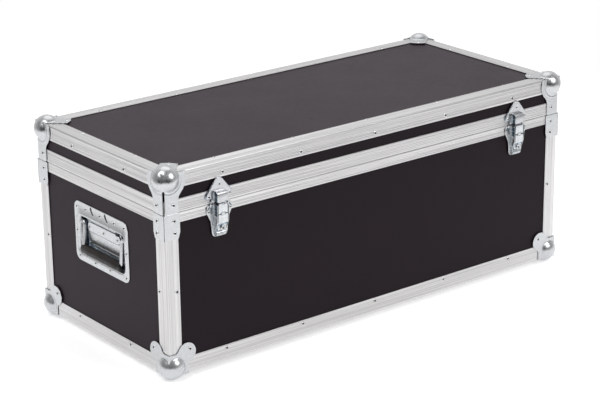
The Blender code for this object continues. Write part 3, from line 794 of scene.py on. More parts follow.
def rivet_mesh(scale):
    """Pop rivet: a low dome with a hollow middle and the stub of its mandrel, near-black partly as the
    stub's own steel and partly as painted shade in the hollow.
    """
    profile = [
        (0.0, 0.0006), (0.0010, 0.0005), (0.0018, 0.00025), (0.0020, 0.0003), (0.0021, 0.00115),
        (0.0024, 0.0013), (0.0030, 0.0010), (0.0035, 0.00035), (0.0036, -0.0001),
    ]
    bm = revolve([(r * scale, z * scale) for r, z in profile], 16, lambda index: 1 if index < 3 else 0)
    close_holes(bm)
    return finish_mesh("rivet", bm, ROUND_ANGLE)


def rivets(name, places, body, scale=1.12):
    """All of a group's rivets as one piece. Places are (point, outward normal)."""
    source = rivet_mesh(scale)
    bm = bmesh.new()
    for point, normal in places:
        bm.from_mesh(source)
        turn = Vector(normal).to_track_quat("Z", "Y").to_matrix().to_4x4()
        fresh = bm.verts[-len(source.vertices):]
        bmesh.ops.transform(bm, matrix=Matrix.Translation(point) @ turn, verts=fresh)
    mesh = bpy.data.meshes.new(name)
    bm.to_mesh(mesh)
    bm.free()
    bpy.data.meshes.remove(source)
    return piece(name, shaded(mesh, ROUND_ANGLE), [RIVET, DARK_STEEL_AND_SHADE], body)


def on_side(side, along, up, out=0.0):
    """A point on an upright side with the side's normal. Up is measured from the frame's underside."""
    return side_matrix(side, out) @ Vector((along, up + BOTTOM, 0)), SIDES[side]


def on_face(face, side, points):
    """Places for rivets from (u, v, out) on a face."""
    return [(face @ Vector(point), SIDES[side]) for point in points]


HEIGHT = TOP - BOTTOM
SPLIT = JOINT_Z - BOTTOM
LENGTH_SPACING = 0.18375
LONG_ROW = [LENGTH_SPACING * (i - 2) for i in range(5)]
SHORT_ROW = [-0.0905, 0.0905]
RIVET_ROWS = {"front": LONG_ROW, "back": LONG_ROW, "left": SHORT_ROW, "right": SHORT_ROW}


def make_frame_rivets():
    from_foot, from_top, inset = 0.0235, 0.0210, 0.025
    post_inset, post_up = 0.0225, 0.166
    base, lid = [], []
    for side, row in RIVET_ROWS.items():
        inward = SIDES[side] * -inset
        for along in row:
            base.append(on_side(side, along, from_foot))
            lid.append(on_side(side, along, HEIGHT - from_top))
            lid.append((on_side(side, along, HEIGHT)[0] + inward, Vector((0, 0, 1))))
            base.append((on_side(side, along, 0)[0] + inward, Vector((0, 0, -1))))
        reach = HALF_L if side in ("front", "back") else HALF_D
        for sign in (-1, 1):
            base.append(on_side(side, sign * (reach - post_inset), post_up))
    rivets("rivets_base_frame", base, "base")
    rivets("rivets_lid_frame", lid, "lid")


def make_corner_rivets():
    out = GAP + PLATE
    lobe = 0.0465  # from the edges to the rivets in the base corners' lobes
    base, lid = [], []
    for sign_x, sign_y in CORNERS.values():
        for side, reach, sign in (
            ("front" if sign_y < 0 else "back", HALF_L, sign_x),
            ("left" if sign_x < 0 else "right", HALF_D, sign_y),
        ):
            across = side_matrix(side).to_3x3().col[0]
            toward = sign * (across.x + across.y)
            for inset, up in ((lobe, lobe), (0.0205, 0.306), (0.0215, 0.282)):
                base.append(on_side(side, toward * (reach - inset), up, out))
            lid.append(on_side(side, toward * (reach - 0.0200), 0.3365, out))
        for edge_z, sign_z, inset, group in ((BOTTOM, -1, lobe, base), (TOP, 1, 0.0435, lid)):
            point = Vector((sign_x * (HALF_L - inset), sign_y * (HALF_D - inset), edge_z + sign_z * out))
            group.append((point, Vector((0, 0, sign_z))))
    rivets("rivets_base_corners", base, "base")
    rivets("rivets_lid_corners", lid, "lid")


# ------------ corner braces


BRACE_FOOT = 0.270


def brace_distance(p):
    """L-shaped plate over a post. The third coordinate runs up from the frame's underside."""
    u, v, w = p[..., 0], p[..., 1], p[..., 2]
    low, high = BRACE_FOOT, SPLIT - 0.00025
    narrow, wide, taper = 0.0296, 0.0335, 0.012
    width = narrow + (wide - narrow) * np.clip((w - low) / taper, 0, 1)
    result = None
    for first, out in ((u, v), (v, u)):
        outline = np.maximum(np.maximum(first - width, low - w), w - high)
        leg = pressed(outline, first, w, out, PLATE)
        result = leg if result is None else smooth_least(result, leg, 0.0012)
    bend = 0.001  # inner radius of the bend round the post's arris
    wrapped = np.hypot(np.minimum(u - bend, 0), np.minimum(v - bend, 0)) - bend - GAP - PLATE
    edge = np.maximum(np.maximum(wrapped, np.maximum(u, v) - 2 * bend), np.maximum(low - w, w - high))
    return np.maximum(np.minimum(result, edge), np.minimum(u, v) + GAP)


def make_corner_braces():
    net = surface_net(brace_distance, (-0.004, -0.004, 0.266), (0.037, 0.037, SPLIT + 0.003), 0.0009)
    for corner, (sign_x, sign_y) in CORNERS.items():
        mesh = place_corner("brace_" + corner, net, sign_x, sign_y, BOTTOM, 1)
        brace = piece(mesh.name, mesh, ZINC, "base")
        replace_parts(brace, "corner_brace_" + corner)
    # Thin near-black rods down the braces' bends: painted shade of the seams
    seam_out, seam_radius = 0.0017, 0.0005
    seams = bmesh.new()
    for sign_x, sign_y in CORNERS.values():
        x, y = sign_x * (HALF_L + seam_out), sign_y * (HALF_D + seam_out)
        low, high = BOTTOM + BRACE_FOOT + seam_radius, JOINT_Z - seam_radius
        rod_between(seams, (x, y, low), (x, y, high), seam_radius, 12)
    piece("brace_seam_painted_shade", finish_mesh("brace_seam_painted_shade", seams), DARK_STEEL_AND_SHADE, "base")


# ------------ handles


def ring(size, radius, middle_v, depth):
    """A rounded rectangle at a depth behind the case's face."""
    return [(u, v, -depth) for u, v in rounded_rectangle(size, radius, (0, middle_v))]


FLANGE_SIZE = (0.187, 0.1225)
FLANGE_V = 0.2078
TRAY_SIZE = (0.156, 0.077)
TRAY_V = 0.2015
TRAY_DEPTH = 0.022
BAIL_DEPTH = 0.0055
BAIL_DROP = 0.0535
BAIL_LEAN = 0.0045
BAIL_HALF_SPAN = 0.0660
BAIL_ROD = 0.004
BAIL_V = 0.228
GRIP_LENGTH = 0.0635  # half the rubber sleeve's
# (radius, distance from the middle), from the sleeve's end to its middle
GRIP_PROFILE = [
    (0.0050, GRIP_LENGTH), (0.0082, GRIP_LENGTH), (0.0088, GRIP_LENGTH - 0.001), (0.0090, 0.040),
    (0.0092, 0.0),
]
GRIP_END_PROFILE = [
    (0.0050, 0.0630), (0.0086, 0.0630), (0.0086, 0.0658), (0.0081, 0.0672), (0.0066, 0.0680), (0, 0.0682),
]
QUARTER_TURN = Matrix.Rotation(math.radians(90), 4, "Y")
SAME_PLACE = 0.000001  # metres within which vertices are merged


def grown(size, sideways, upward):
    return size[0] + 2 * sideways, size[1] + 2 * upward


def dish_mesh(name):
    """Flanged tray, in rings: backs of tray and flange, rim and face, then over the lip and inside."""
    wall = 0.0015
    mouth = grown(TRAY_SIZE, -wall, -wall)
    mouth_radius = 0.0066
    side_lip, lip = 0.0058, 0.0042  # how far the rolled lip reaches beside and above the mouth
    rings = [ring(TRAY_SIZE, 0.008, TRAY_V, TRAY_DEPTH), ring(TRAY_SIZE, 0.008, TRAY_V, SHEET)]
    rings += [ring(FLANGE_SIZE, 0.015, FLANGE_V, SHEET), ring(FLANGE_SIZE, 0.015, FLANGE_V, 0.0006)]
    rings.append(ring(grown(FLANGE_SIZE, -0.0006, -0.0006), 0.0144, FLANGE_V, 0.0))
    for further, depth in ((0.0030, 0.0), (0.0022, -0.0006), (0.0012, -0.0009), (0.0004, -0.0006)):
        rings.append(ring(grown(mouth, side_lip + further, lip + further), 0.0125 + further, TRAY_V, depth))
    for angle in range(0, 91, 15):
        share = 1 - math.sin(math.radians(angle))
        size = grown(mouth, side_lip * share, lip * share)
        depth = side_lip * (1 - math.cos(math.radians(angle)))
        rings.append(ring(size, mouth_radius + 0.0055 * share, TRAY_V, depth))
    floor, foot = TRAY_DEPTH - wall, 0.003
    for angle in range(0, 91, 30):
        inset = -foot * (1 - math.cos(math.radians(angle)))
        depth = floor - foot * (1 - math.sin(math.radians(angle)))
        rings.append(ring(grown(mouth, inset, inset), mouth_radius + inset, TRAY_V, depth))
    bm = loft(rings)
    # Faces deeper than just below the lip take the second, shaded zinc: painted shade inside the tray
    below_lip = -0.0052
    for face in bm.faces:
        if face.calc_center_median().z < below_lip:
            face.material_index = 1
    return finish_mesh(name, bm, 40)


def crescent(start, end, bulge, width):
    """Outline of a curved slot from start to end, widest at its start."""
    start, end = Vector(start), Vector(end)
    run = end - start
    side = Vector((-run.y, run.x)).normalized()
    left, right = [], []
    for i in range(9):
        share = i / 8
        middle = start + run * share + side * bulge * math.sin(math.pi * share)
        half = width / 2 * (1 - 0.5 * share) * math.sqrt(min(1, 0.15 + share * 6))
        left.append(tuple(middle + side * half))
        right.append(tuple(middle - side * half))
    return left + right[::-1]


# The sheet behind the grip, from its top down: (height, depth behind the face)
BACK_TOP = [(0.2415, 0.0050), (0.2385, 0.0062), (0.2350, 0.0076), (0.2310, 0.0082), (0.2125, 0.0084)]
BACK_FOOT = [(0.1855, 0.0110), (0.1852, 0.0101)]
HANDLE_RIVETS = [
    (-0.083, 0.257), (-0.052, 0.2575), (-0.002, 0.258), (0.048, 0.2575), (0.082, 0.257),
    (-0.0846, 0.2076), (0.0880, 0.2076), (-0.079, 0.157), (-0.023, 0.156), (0.028, 0.156), (0.085, 0.157),
]
STRIP_V = 0.2222
STRIP_OUT = -0.0082


def back_curve():
    """The sheet behind the grip: a rolled top, a flat and a slow curve outward to its foot."""
    flat_end, flat_depth = BACK_TOP[-1]
    fall, steps = 0.0262, 7
    shares = [step / steps for step in range(1, steps + 1)]
    slow = [(flat_end - fall * share, flat_depth + 0.0030 * share ** 1.5) for share in shares]
    return BACK_TOP + slow + BACK_FOOT


def make_handle(side):
    face = side_matrix(side, 0, 0, BOTTOM)
    tray = dish_mesh("handle_tray_" + side)
    dish = piece("handle_tray_" + side, tray, [ZINC, ZINC_PAINTED_WALL_SHADE], "base", face)
    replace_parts(dish, "handle_dish_" + side)
    # Flat near-black crescents stand in for the flange's slots: painted shade of the openings
    for index, top_u in enumerate((-0.0345, 0.0155)):
        outline = crescent((top_u, 0.2668), (top_u + 0.0090, 0.2525), -0.0018, 0.0066)
        name = "handle_slot_" + side + "_" + str(index)
        flat_piece(name, outline, 0.00035, DARK_STEEL_AND_SHADE, "base", shifted(face, 0, 0, -0.0002))
    back = swept_sheet("handle_back_" + side, back_curve(), 0.0585, 0.0012)
    piece("handle_back_" + side, back, ZINC, "base", face)
    strip_place = shifted(face, 0, 0, STRIP_OUT)
    # A slightly larger plate of the darkest shaded zinc under the strip: a painted shadow line round it
    under = rounded_rectangle((0.1146, 0.0206), 0.0100, (0, STRIP_V - 0.0002))
    flat_piece("handle_strip_painted_shadow_" + side, under, 0.0010, ZINC_PAINTED_DEEP_SHADE, "base", strip_place)
    strip = rounded_rectangle((0.113, 0.0190), 0.0092, (0, STRIP_V))
    soften(flat_piece("handle_strip_" + side, strip, 0.0018, ZINC, "base", strip_place), 0.0006)
    # A near-black plate behind the face stands in for the spring's hole: painted shade
    hole = rounded_rectangle((0.0088, 0.0084), 0.0010, (0.0472, 0.2341))
    flat_piece("handle_spring_hole_" + side, hole, 0.0006, DARK_STEEL_AND_SHADE, "base", shifted(face, 0, 0, -0.0060))
    make_bail(side)
    places = [(u, v, 0) for u, v in HANDLE_RIVETS] + [(u, STRIP_V, -0.0064) for u in (-0.050, 0.0, 0.048)]
    rivets("rivets_handle_" + side, on_face(face, side, places), "base", 0.95)


def make_bail(side):
    """Sprung bail with a moulded grip whose black ends cover the bends."""
    pivot = side_matrix(side, -BAIL_DEPTH, 0, BOTTOM) @ Matrix.Translation((0, BAIL_V, 0))
    body = "bail_" + side
    bend, shoulder = 0.008, 0.0046
    half = [(TRAY_SIZE[0] / 2 - 0.0008, 0)]
    half += arc((BAIL_HALF_SPAN + shoulder, -shoulder), shoulder, 90, 180, 6)
    half += arc((BAIL_HALF_SPAN - bend, -BAIL_DROP + bend), bend, 0, -90, 8)
    points = half + mirrored(half)[len(half):]
    rod = tube("bail_rod_" + side, [(u, v, BAIL_LEAN * -v / BAIL_DROP) for u, v in points], BAIL_ROD, 20)
    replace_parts(piece("bail_rod_" + side, rod, ZINC, body, pivot), "handle_bail_" + side)
    bm = revolve(GRIP_PROFILE + [(radius, -u) for radius, u in GRIP_PROFILE[-2::-1]] + GRIP_PROFILE[:1], 32)
    bmesh.ops.remove_doubles(bm, verts=bm.verts, dist=SAME_PLACE)
    middle = pivot @ Matrix.Translation((0, -BAIL_DROP, BAIL_LEAN))
    sleeve = finish_mesh("grip_sleeve_" + side, bm, 40)
    grip = piece("grip_sleeve_" + side, sleeve, RUBBER, body, middle @ QUARTER_TURN)
    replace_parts(grip, "handle_grip_" + side)
    for end, turn in (("front", QUARTER_TURN), ("back", QUARTER_TURN.inverted())):
        cap = revolve(GRIP_END_PROFILE, 28)
        close_holes(cap)
        name = "grip_end_" + side + "_" + end
        piece(name, finish_mesh(name, cap, 40), BLACK, body, middle @ turn)


# ------------ latches

# Outlines are (across, height) and side views are (height, out), over the frame's underside and face
STRIKE_OUTLINE = mirrored([
    (0, 0.3695), (0.0045, 0.3688), (0.0085, 0.3655), (0.0280, 0.3400), (0.0293, 0.3365), (0.0288, 0.3330),
    (0.0262, 0.3308), (0.0170, 0.3302), (0.0150, 0.3290), (0.0145, 0.3220),
])
STRIKE_THICK = 0.0032
# Stations down the strike's hood: height, half width and how far out
HOOD_STATIONS = [
    (0.3453, 0.0090, 0.0036), (0.3450, 0.0104, 0.0062), (0.3446, 0.0116, 0.0086), (0.3436, 0.0123, 0.0108),
    (0.3424, 0.0126, 0.0123), (0.3410, 0.0128, 0.0132), (0.3394, 0.0129, 0.0136), (0.3330, 0.0129, 0.0138),
    (0.3250, 0.0129, 0.0138),
]
HOUSING_OUTLINE = mirrored([
    (0.0150, 0.3190), (0.0180, 0.3158), (0.0225, 0.3178), (0.0275, 0.3160), (0.0293, 0.3110),
    (0.0286, 0.3030), (0.0235, 0.2930), (0.0202, 0.2860), (0.0186, 0.2750), (0.0180, 0.2630),
    (0.0160, 0.2575), (0.0110, 0.2545), (0.0040, 0.2540),
])
HOUSING_THICK = 0.0020
HOUSING_BODY = [(0.3182, 0.0016), (0.3182, 0.0110), (0.3172, 0.0118), (0.2815, 0.0118), (0.2815, 0.0016)]
HOUSING_FOOT = [(0.2813, 0.0016), (0.2813, 0.0098), (0.2735, 0.0078), (0.2660, 0.0050), (0.2640, 0.0016)]
HOUSING_LIP = [
    (0.2668, 0.0018), (0.2658, 0.0048), (0.2640, 0.0066), (0.2618, 0.0075), (0.2594, 0.0076),
    (0.2572, 0.0068), (0.2556, 0.0052), (0.2548, 0.0018),
]
HOUSING_WALLS = {
    "high": [(0.3178, 0.0060), (0.3175, 0.0142), (0.2960, 0.0142), (0.2985, 0.0060)],
    "root": [(0.3178, 0.0016), (0.3178, 0.0059), (0.2985, 0.0059), (0.2950, 0.0016)],
    "low": [(0.2948, 0.0016), (0.2983, 0.0059), (0.2958, 0.0138), (0.2860, 0.0132), (0.2770, 0.0098),
            (0.2670, 0.0056), (0.2660, 0.0016)],
}
# Outline of the painted shade below each ear
EAR_SHADE_OUTLINE = [(0.0283, 0.3093), (0.0225, 0.3160), (0.0208, 0.3150), (0.0262, 0.3083)]
CURL_PROFILE = [(0, 0.0036), (0.0014, 0.0033), (0.0025, 0.0024), (0.0030, 0.0010), (0.0030, 0.0)]
EYE_PROFILE = [
    (0.0020, 0.0030), (0.0020, 0.0112), (0.0027, 0.0120), (0.0040, 0.0120), (0.0052, 0.0110),
    (0.0054, 0.0095), (0.0054, 0.0030), (0.0020, 0.0030),
]
KEY_PROFILE = [(0, 0.0035), (0.0058, 0.0035), (0.0058, 0.0112), (0.0050, 0.0120), (0, 0.0120)]
WING_OUT = -JOINT_POS["wing_upper_left_fold"].y - HALF_D
WING_HALF = 0.0107
LATCH_RIVET_SCALE = 0.8


def hood_section(half, out):
    """Section across the hood: walls up from inside the plate, round shoulders and a flat top."""
    foot = 0.0024
    shoulder = min(0.0020, (out - foot) * 0.8)
    middle = foot + (out - foot) * 0.35
    points = [(-half, foot), (-half, middle)]
    points += arc((-half + shoulder, out - shoulder), shoulder, 180, 90, 5)
    points += arc((half - shoulder, out - shoulder), shoulder, 90, 0, 5)
    return points + [(half, middle), (half, foot)]


def make_shade_strip(name, face, sign, level, span, body):
    """A thin strip of shaded zinc beside a latch's walls: painted shade of a recess there."""
    low, high = span
    near, far = 0.0138, 0.0178
    outline = [(near, low), (far, low + 0.0006), (far, high - 0.0030), (0.0152, high), (near, high)]
    outline = [(sign * u, v) for u, v in outline]
    flat_piece(name, outline, 0.0003, ZINC_PAINTED_BAND_SHADE, body, shifted(face, 0, 0, level))


def make_strike(side, face):
    strike = flat_piece("strike_plate_" + side, STRIKE_OUTLINE, STRIKE_THICK, ZINC, "lid", face)
    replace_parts(soften(strike, 0.0011, 3), "latch_strike_" + side)
    bm = loft([[(u, v, w) for u, w in hood_section(half, out)] for v, half, out in HOOD_STATIONS])
    hood = finish_mesh("strike_hood_" + side, bm, 40)
    # Faces of the hood that look sideways take shaded zinc, darkest high up: painted shade and painted
    # reflection on its walls
    steep, deep_above = 0.6, 0.0070
    for polygon in hood.polygons:
        if abs(polygon.normal.x) > steep:
            polygon.material_index = 1 if polygon.center.z > deep_above else 2
    piece(hood.name, hood, [ZINC, ZINC_PAINTED_DEEP_SHADE, ZINC_PAINTED_BAND_SHADE], "lid", face)
    # A slightly larger plate of shaded zinc under the strike: a painted shadow rim round its edge
    under = [(u * 1.06, v - 0.0004) for u, v in STRIKE_OUTLINE]
    flat_piece("strike_painted_shadow_rim_" + side, under, 0.0012, ZINC_PAINTED_WALL_SHADE, "lid", face)
    for hand, sign in LEFT_RIGHT:
        name = "strike_shade_strip_" + side + "_" + hand
        make_shade_strip(name, face, sign, STRIKE_THICK - 0.0002, (0.3222, 0.3385), "lid")


def make_housing(side, face):
    base = flat_piece("housing_plate_" + side, HOUSING_OUTLINE, HOUSING_THICK, ZINC, "base", face)
    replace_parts(soften(base, 0.0007), "latch_housing_" + side)
    # The foot is in shaded zinc: painted shade on its slope
    for part, outline, half_width, material, edge in (
        ("body_", HOUSING_BODY, 0.0122, ZINC, 0.0008),
        ("foot_", HOUSING_FOOT, 0.0116, ZINC_PAINTED_WALL_SHADE, 0.0006),
    ):
        name = "housing_" + part + side
        soften(piece(name, block(name, outline, half_width), material, "base", face), edge)
    for hand, sign in LEFT_RIGHT:
        make_housing_side(side + "_" + hand, face, sign)
    eye = revolve(EYE_PROFILE, 28)
    bmesh.ops.remove_doubles(eye, verts=eye.verts, dist=SAME_PLACE)
    eye_place = shifted(face, 0.0010, 0.2722, 0)
    piece("lock_eye_" + side, finish_mesh("lock_eye_" + side, eye), ZINC, "base", eye_place)
    # The lip is in banded shaded zinc: painted shade and painted reflection
    lip = block("housing_lip_" + side, HOUSING_LIP, 0.0118)
    soften(piece(lip.name, lip, ZINC_PAINTED_BAND_SHADE, "base", face), 0.0016, 4, 45)


def make_housing_side(ending, face, sign):
    """The walls, the painted shade strip and the ear on one side of a housing."""
    wall_half, wall_edge, outward = 0.0005, 0.00015, 0.9
    for part, outline in HOUSING_WALLS.items():
        wall = block("_".join(("housing_wall", part, ending)), outline, wall_half)
        # Faces that look sideways take shaded zinc, darkest on the high wall: painted shade and painted
        # reflection
        for polygon in wall.polygons:
            polygon.material_index = 1 if abs(polygon.normal.x) > outward else 0
        tones = [ZINC, ZINC_PAINTED_DEEP_SHADE if part == "high" else ZINC_PAINTED_BAND_SHADE]
        soften(piece(wall.name, wall, tones, "base", shifted(face, sign * 0.0128, 0, 0)), wall_edge)
    make_shade_strip("housing_shade_strip_" + ending, face, sign, HOUSING_THICK - 0.0001, (0.2640, 0.3150), "base")
    # A sliver of dark shaded zinc below the ear: painted shade under the ear's edge
    ear = [(sign * u, v) for u, v in EAR_SHADE_OUTLINE]
    flat_piece("housing_ear_painted_shade_" + ending, ear, 0.0005, ZINC_PAINTED_DEEP_SHADE, "base", shifted(face, 0, 0, 0.0018))
    # The curl is in the lighter zinc: a painted highlight on the ear
    curl = revolve(CURL_PROFILE, 20)
    close_holes(curl)
    name = "housing_ear_curl_" + ending
    curl_place = shifted(face, sign * 0.0196, 0.3168, 0.0012)
    piece(name, finish_mesh(name, curl, 60), ZINC_PAINTED_HIGHLIGHT, "base", curl_place)


def make_wings(side, face):
    """Two-leaf key, flat at rest, folding about pins beside its middle."""
    middle = shifted(face, 0, KEY_Z - BOTTOM, 0)
    key = revolve(KEY_PROFILE, 28)
    add_box(key, (0.0078, 0.0054, 0.0028), (0, 0, 0.0132))
    spindle = finish_mesh("key_spindle_" + side, key)
    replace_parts(piece(spindle.name, spindle, ZINC, "key_" + side, middle), "latch_key_" + side)
    near, cut_half, cut_top = 0.0010, 0.0044, 0.0032
    half = [(WING_HALF, near), (WING_HALF, 0.0158)]
    half += [(WING_HALF - 0.0007, 0.0180), (WING_HALF - 0.0022, 0.0186)]
    cut = [(-cut_half, near), (-cut_half, cut_top), (cut_half, cut_top), (cut_half, near)]
    # The leaves are in the lighter zinc: painted highlight
    for level, sign in (("upper_", 1), ("lower_", -1)):
        outline = [(u, sign * v) for u, v in mirrored(half) + cut]
        body = "wing_" + level + side
        leaf = flat_piece(body, outline, 0.0020, ZINC_PAINTED_HIGHLIGHT, body, shifted(middle, 0, 0, WING_OUT - 0.0010))
        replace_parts(soften(leaf, 0.0005), "latch_wing_" + level + side)
        # Near-black pins: partly their own steel, partly painted shade of the crease between the leaves
        pin = bmesh.new()
        rod_between(pin, (-WING_HALF, sign * 0.0016, 0), (WING_HALF, sign * 0.0016, 0), 0.0009, 12)
        name = "wing_pin_" + level + side
        piece(name, finish_mesh(name, pin), DARK_STEEL_AND_SHADE, body, shifted(middle, 0, 0, WING_OUT))


def make_latches():
    for side, sign in LEFT_RIGHT:
        face = side_matrix("front", GAP, sign * LATCH_X, BOTTOM)
        make_strike(side, face)
        make_housing(side, face)
        make_wings(side, side_matrix("front", 0, sign * LATCH_X, BOTTOM))
        lid = [(u, v, STRIKE_THICK) for u, v in ((0.0005, 0.3563), (-0.0238, 0.3352), (0.0238, 0.3352))]
        base = [(u, 0.3062, HOUSING_THICK) for u in (-0.0248, 0.0248)]
        rivets("rivets_strike_" + side, on_face(face, "front", lid), "lid", LATCH_RIVET_SCALE)
        rivets("rivets_housing_" + side, on_face(face, "front", base), "base", LATCH_RIVET_SCALE)


# ------------ hinges

# (radius, distance from the middle) of a hinge's pin with its two heads
PIN_HALF = [(0, 0.0318), (0.0022, 0.0317), (0.0040, 0.0308), (0.0042, 0.0302), (0.0030, 0.0301)]
HINGE_RIVETS = [(-0.020, 0.016), (0.020, 0.016), (0.0, 0.034)]


def make_hinge_leaf(side, body, middle_x, spans):
    """A hinge's plate, its rivets and its knuckles, which cover spans along the pin."""
    upward = 1 if body == "lid" else -1
    face = side_matrix("back", GAP, -middle_x, BOTTOM)
    near, far = SPLIT + upward * 0.0012, SPLIT + upward * 0.0440
    outline = rounded_rectangle((0.060, abs(far - near)), 0.006, (0, (near + far) / 2))
    ending = body + "_" + side
    leaf = soften(flat_piece("hinge_plate_" + ending, outline, SHEET, ZINC, body, face), 0.0005)
    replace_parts(leaf, "hinge_" + body + "_leaf_" + side)
    web_drop, web_thick, web_play = 0.0031, 0.0036, 0.0006
    bm = bmesh.new()
    for start, end in spans:
        axis_ends = [(middle_x + along, HINGE_Y, JOINT_Z) for along in (start, end)]
        rod_between(bm, *axis_ends, 0.0050, 28)
        web_middle = (middle_x + (start + end) / 2, (HINGE_Y + HALF_D) / 2, JOINT_Z + upward * web_drop)
        add_box(bm, (end - start - web_play, HINGE_Y - HALF_D - 0.002, web_thick), web_middle)
    barrel = finish_mesh("hinge_barrel_" + ending, bm)
    soften(piece(barrel.name, barrel, ZINC, body), 0.0004, 2, 50)
    places = [(u, SPLIT + upward * v, SHEET) for u, v in HINGE_RIVETS]
    rivets("rivets_hinge_" + ending, on_face(face, "back", places), body, 0.95)


def make_hinges():
    half_width, half_third, play = 0.030, 0.010, 0.0004
    for side, _ in LEFT_RIGHT:
        low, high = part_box("hinge_pin_" + side)
        middle_x = (low.x + high.x) / 2
        make_hinge_leaf(side, "base", middle_x, [(-half_width, -half_third), (half_third, half_width)])
        make_hinge_leaf(side, "lid", middle_x, [(-half_third + play, half_third - play)])
        bm = revolve(PIN_HALF + [(radius, -along) for radius, along in reversed(PIN_HALF)], 24)
        at_axis = Matrix.Translation((middle_x, HINGE_Y, JOINT_Z)) @ QUARTER_TURN
        pin = piece("hinge_rod_" + side, finish_mesh("hinge_rod_" + side, bm), ZINC, "base", at_axis)
        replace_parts(pin, "hinge_pin_" + side)


# ------------ stage


def make_stage():
    bpy.ops.mesh.primitive_grid_add(x_subdivisions=8, y_subdivisions=8, size=3.2)
    floor = bpy.context.object
    floor.name = "floor"
    floor.data.materials.append(make_floor_material())


def softbox(name, direction, distance, size, power, target=(0, 0, 0.2)):
    light = bpy.data.lights.new(name, "AREA")
    light.shape = "DISK"
    light.size = size
    light.energy = power
    lamp = add_object(name, light)
    away = Vector(direction).normalized()
    lamp.location = Vector(target) + away * distance
    lamp.rotation_mode = "QUATERNION"
    lamp.rotation_quaternion = away.to_track_quat("Z", "Y")


def make_lights():
    softbox("key_left", (-0.595, -0.105, 0.797), 3.2, 2.0, 40)
    softbox("key_front", (0.311, -0.766, 0.563), 3.4, 1.8, 38)
    softbox("overhead", (0.25, 0.35, 1.0), 3.6, 3.2, 20)


def world_curve(tree, value, low, high, stops):
    """Maps a value between low and high through (position, grey) stops."""
    remap = tree.nodes.new("ShaderNodeMapRange")
    remap.inputs["From Min"].default_value = low
    remap.inputs["From Max"].default_value = high
    tree.feed(remap.inputs["Value"], value)
    return tree.ramp(remap.outputs["Result"], stops, "EASE")


def make_world():
    """White room. The metal sees a dark patch low down on the viewer's side and a pale wall behind."""
    world = bpy.data.worlds.new("studio")
    bpy.context.scene.world = world
    tree = Tree(world)
    direction = tree.nodes.new("ShaderNodeTexCoord").outputs["Generated"]
    split = tree.nodes.new("ShaderNodeSeparateXYZ")
    tree.feed(split.inputs["Vector"], direction)
    up = split.outputs["Z"]
    height = world_curve(tree, up, -1, 1, [(0, 0.5), (0.5, 0.40), (0.75, 0.28), (1, 0.36)])
    toward = tree.nodes.new("ShaderNodeVectorMath")
    toward.operation = "DOT_PRODUCT"
    toward.inputs[1].default_value = (-0.613, -0.790, 0.0)  # level, towards the viewer
    tree.feed(toward.inputs[0], direction)
    facing = toward.outputs["Value"]
    wall = world_curve(tree, facing, -1, 1, [(0.10, 1.0), (0.55, 0.0)])
    near = world_curve(tree, facing, 0, 1, [(0.25, 0.0), (0.75, 1.0)])
    low = world_curve(tree, up, -0.5, 0.5, [(0.1, 0.0), (0.3, 1.0), (0.64, 1.0), (0.88, 0.0)])
    patch = tree.nodes.new("ShaderNodeMath")
    patch.operation = "MULTIPLY"
    tree.feed(patch.inputs[0], near)
    tree.feed(patch.inputs[1], low)
    seen = tree.nodes.new("ShaderNodeLightPath").outputs["Is Camera Ray"]
    colour = height
    for factor, grey in ((wall, 0.86), (patch.outputs[0], 0.015), (seen, 1.0)):
        colour = tree.mix(factor, colour, (grey, grey, grey))
    tree.feed(tree.nodes["Background"].inputs["Color"], colour)


def make_camera():
    azimuth, elevation, roll = (math.radians(a) for a in (-37.80, 19.51, 0.66))
    back = Vector((
        math.sin(azimuth) * math.cos(elevation),
        -math.cos(azimuth) * math.cos(elevation),
        math.sin(elevation),
    ))
    data = bpy.data.cameras.new("camera")
    data.lens = 118.6
    data.sensor_width = 36
    camera = add_object("camera", data)
    camera.location = (-2.3707, -3.0340, 1.5545)
    camera.rotation_mode = "QUATERNION"
    level = back.to_track_quat("Z", "Y")
    camera.rotation_quaternion = level @ Matrix.Rotation(-roll, 3, "Z").to_quaternion()
    bpy.context.scene.camera = camera


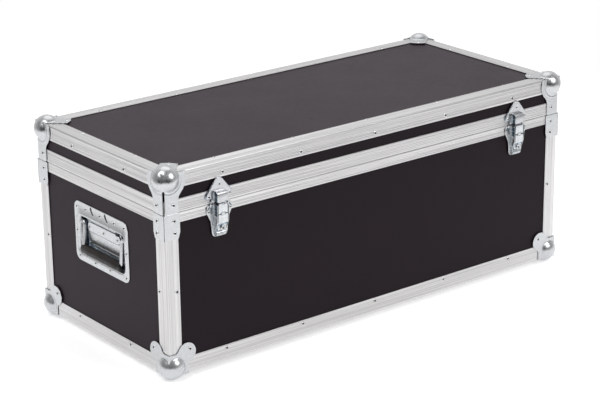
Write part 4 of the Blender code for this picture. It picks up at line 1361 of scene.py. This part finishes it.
def paint_nodes():
    """The carried-over nodes keep their shape and take a finished material."""
    for name, obj in frame["nodes"].items():
        material = ZINC
        if "panel" in name:
            material = FILM
        elif "grip" in name:
            material = RUBBER
        obj.data.materials.clear()
        obj.data.materials.append(material)
        for polygon in obj.data.polygons:
            polygon.material_index = 0


FILM = make_film()
ALUMINIUM = [make_aluminium(axis) for axis in range(3)]
ZINC = make_zinc()
RIVET = make_speckled(
    "rivet_aluminium", (0.82, 0.82, 0.82), 0.3, 1.0, 800,
    ((0.70, 0.70, 0.70), (0.86, 0.86, 0.86)), (0.38, 0.24), 0.00004,
)
# Broken mandrel stubs, their near-black partly their own steel and partly painted shade of the rivets'
# hollows; also painted shade for the insides of slots and holes, the brace seams and the crease at the wing
# pins
DARK_STEEL_AND_SHADE = make_speckled(
    "dark_steel_and_painted_shade", (0.05, 0.05, 0.055), 0.5, 0.6, 900,
    ((0.010, 0.010, 0.012), (0.035, 0.035, 0.040)), (0.6, 0.42), 0.00005,
)
RUBBER = make_rubber()
# The grip's hard ends
BLACK = make_speckled(
    "black_plastic", (0.006, 0.006, 0.007), 0.3, 0.0, 600,
    ((0.004, 0.004, 0.005), (0.010, 0.010, 0.011)), (0.24, 0.38), 0.00003,
)
# Shaded copies of the zinc: painted shade and painted reflection on the fittings' walls, strips and hollows
ZINC_PAINTED_WALL_SHADE = make_painted_shade_zinc("zinc_painted_wall_shade", WALL_SHADE_TONES, (0.36, 0.44, 0.52))
ZINC_PAINTED_BAND_SHADE = make_painted_shade_zinc("zinc_painted_band_shade", BAND_SHADE_TONES, (0.56, 0.58, 0.60))
ZINC_PAINTED_DEEP_SHADE = make_painted_shade_zinc("zinc_painted_deep_shade", DEEP_SHADE_TONES, (0.10, 0.15, 0.19))
# A lighter copy of the zinc: painted highlight on the wings and ear curls
ZINC_PAINTED_HIGHLIGHT = make_painted_highlight_zinc()

bpy.context.scene.view_settings.view_transform = "Standard"
make_camera()
make_world()
make_lights()
make_stage()
paint_nodes()
make_edge_angles()
make_posts()
make_closing_frames()
make_ball_corners()
make_corner_braces()
make_frame_rivets()
make_corner_rivets()
for handle_side in ("left", "right"):
    make_handle(handle_side)
make_latches()
make_hinges()
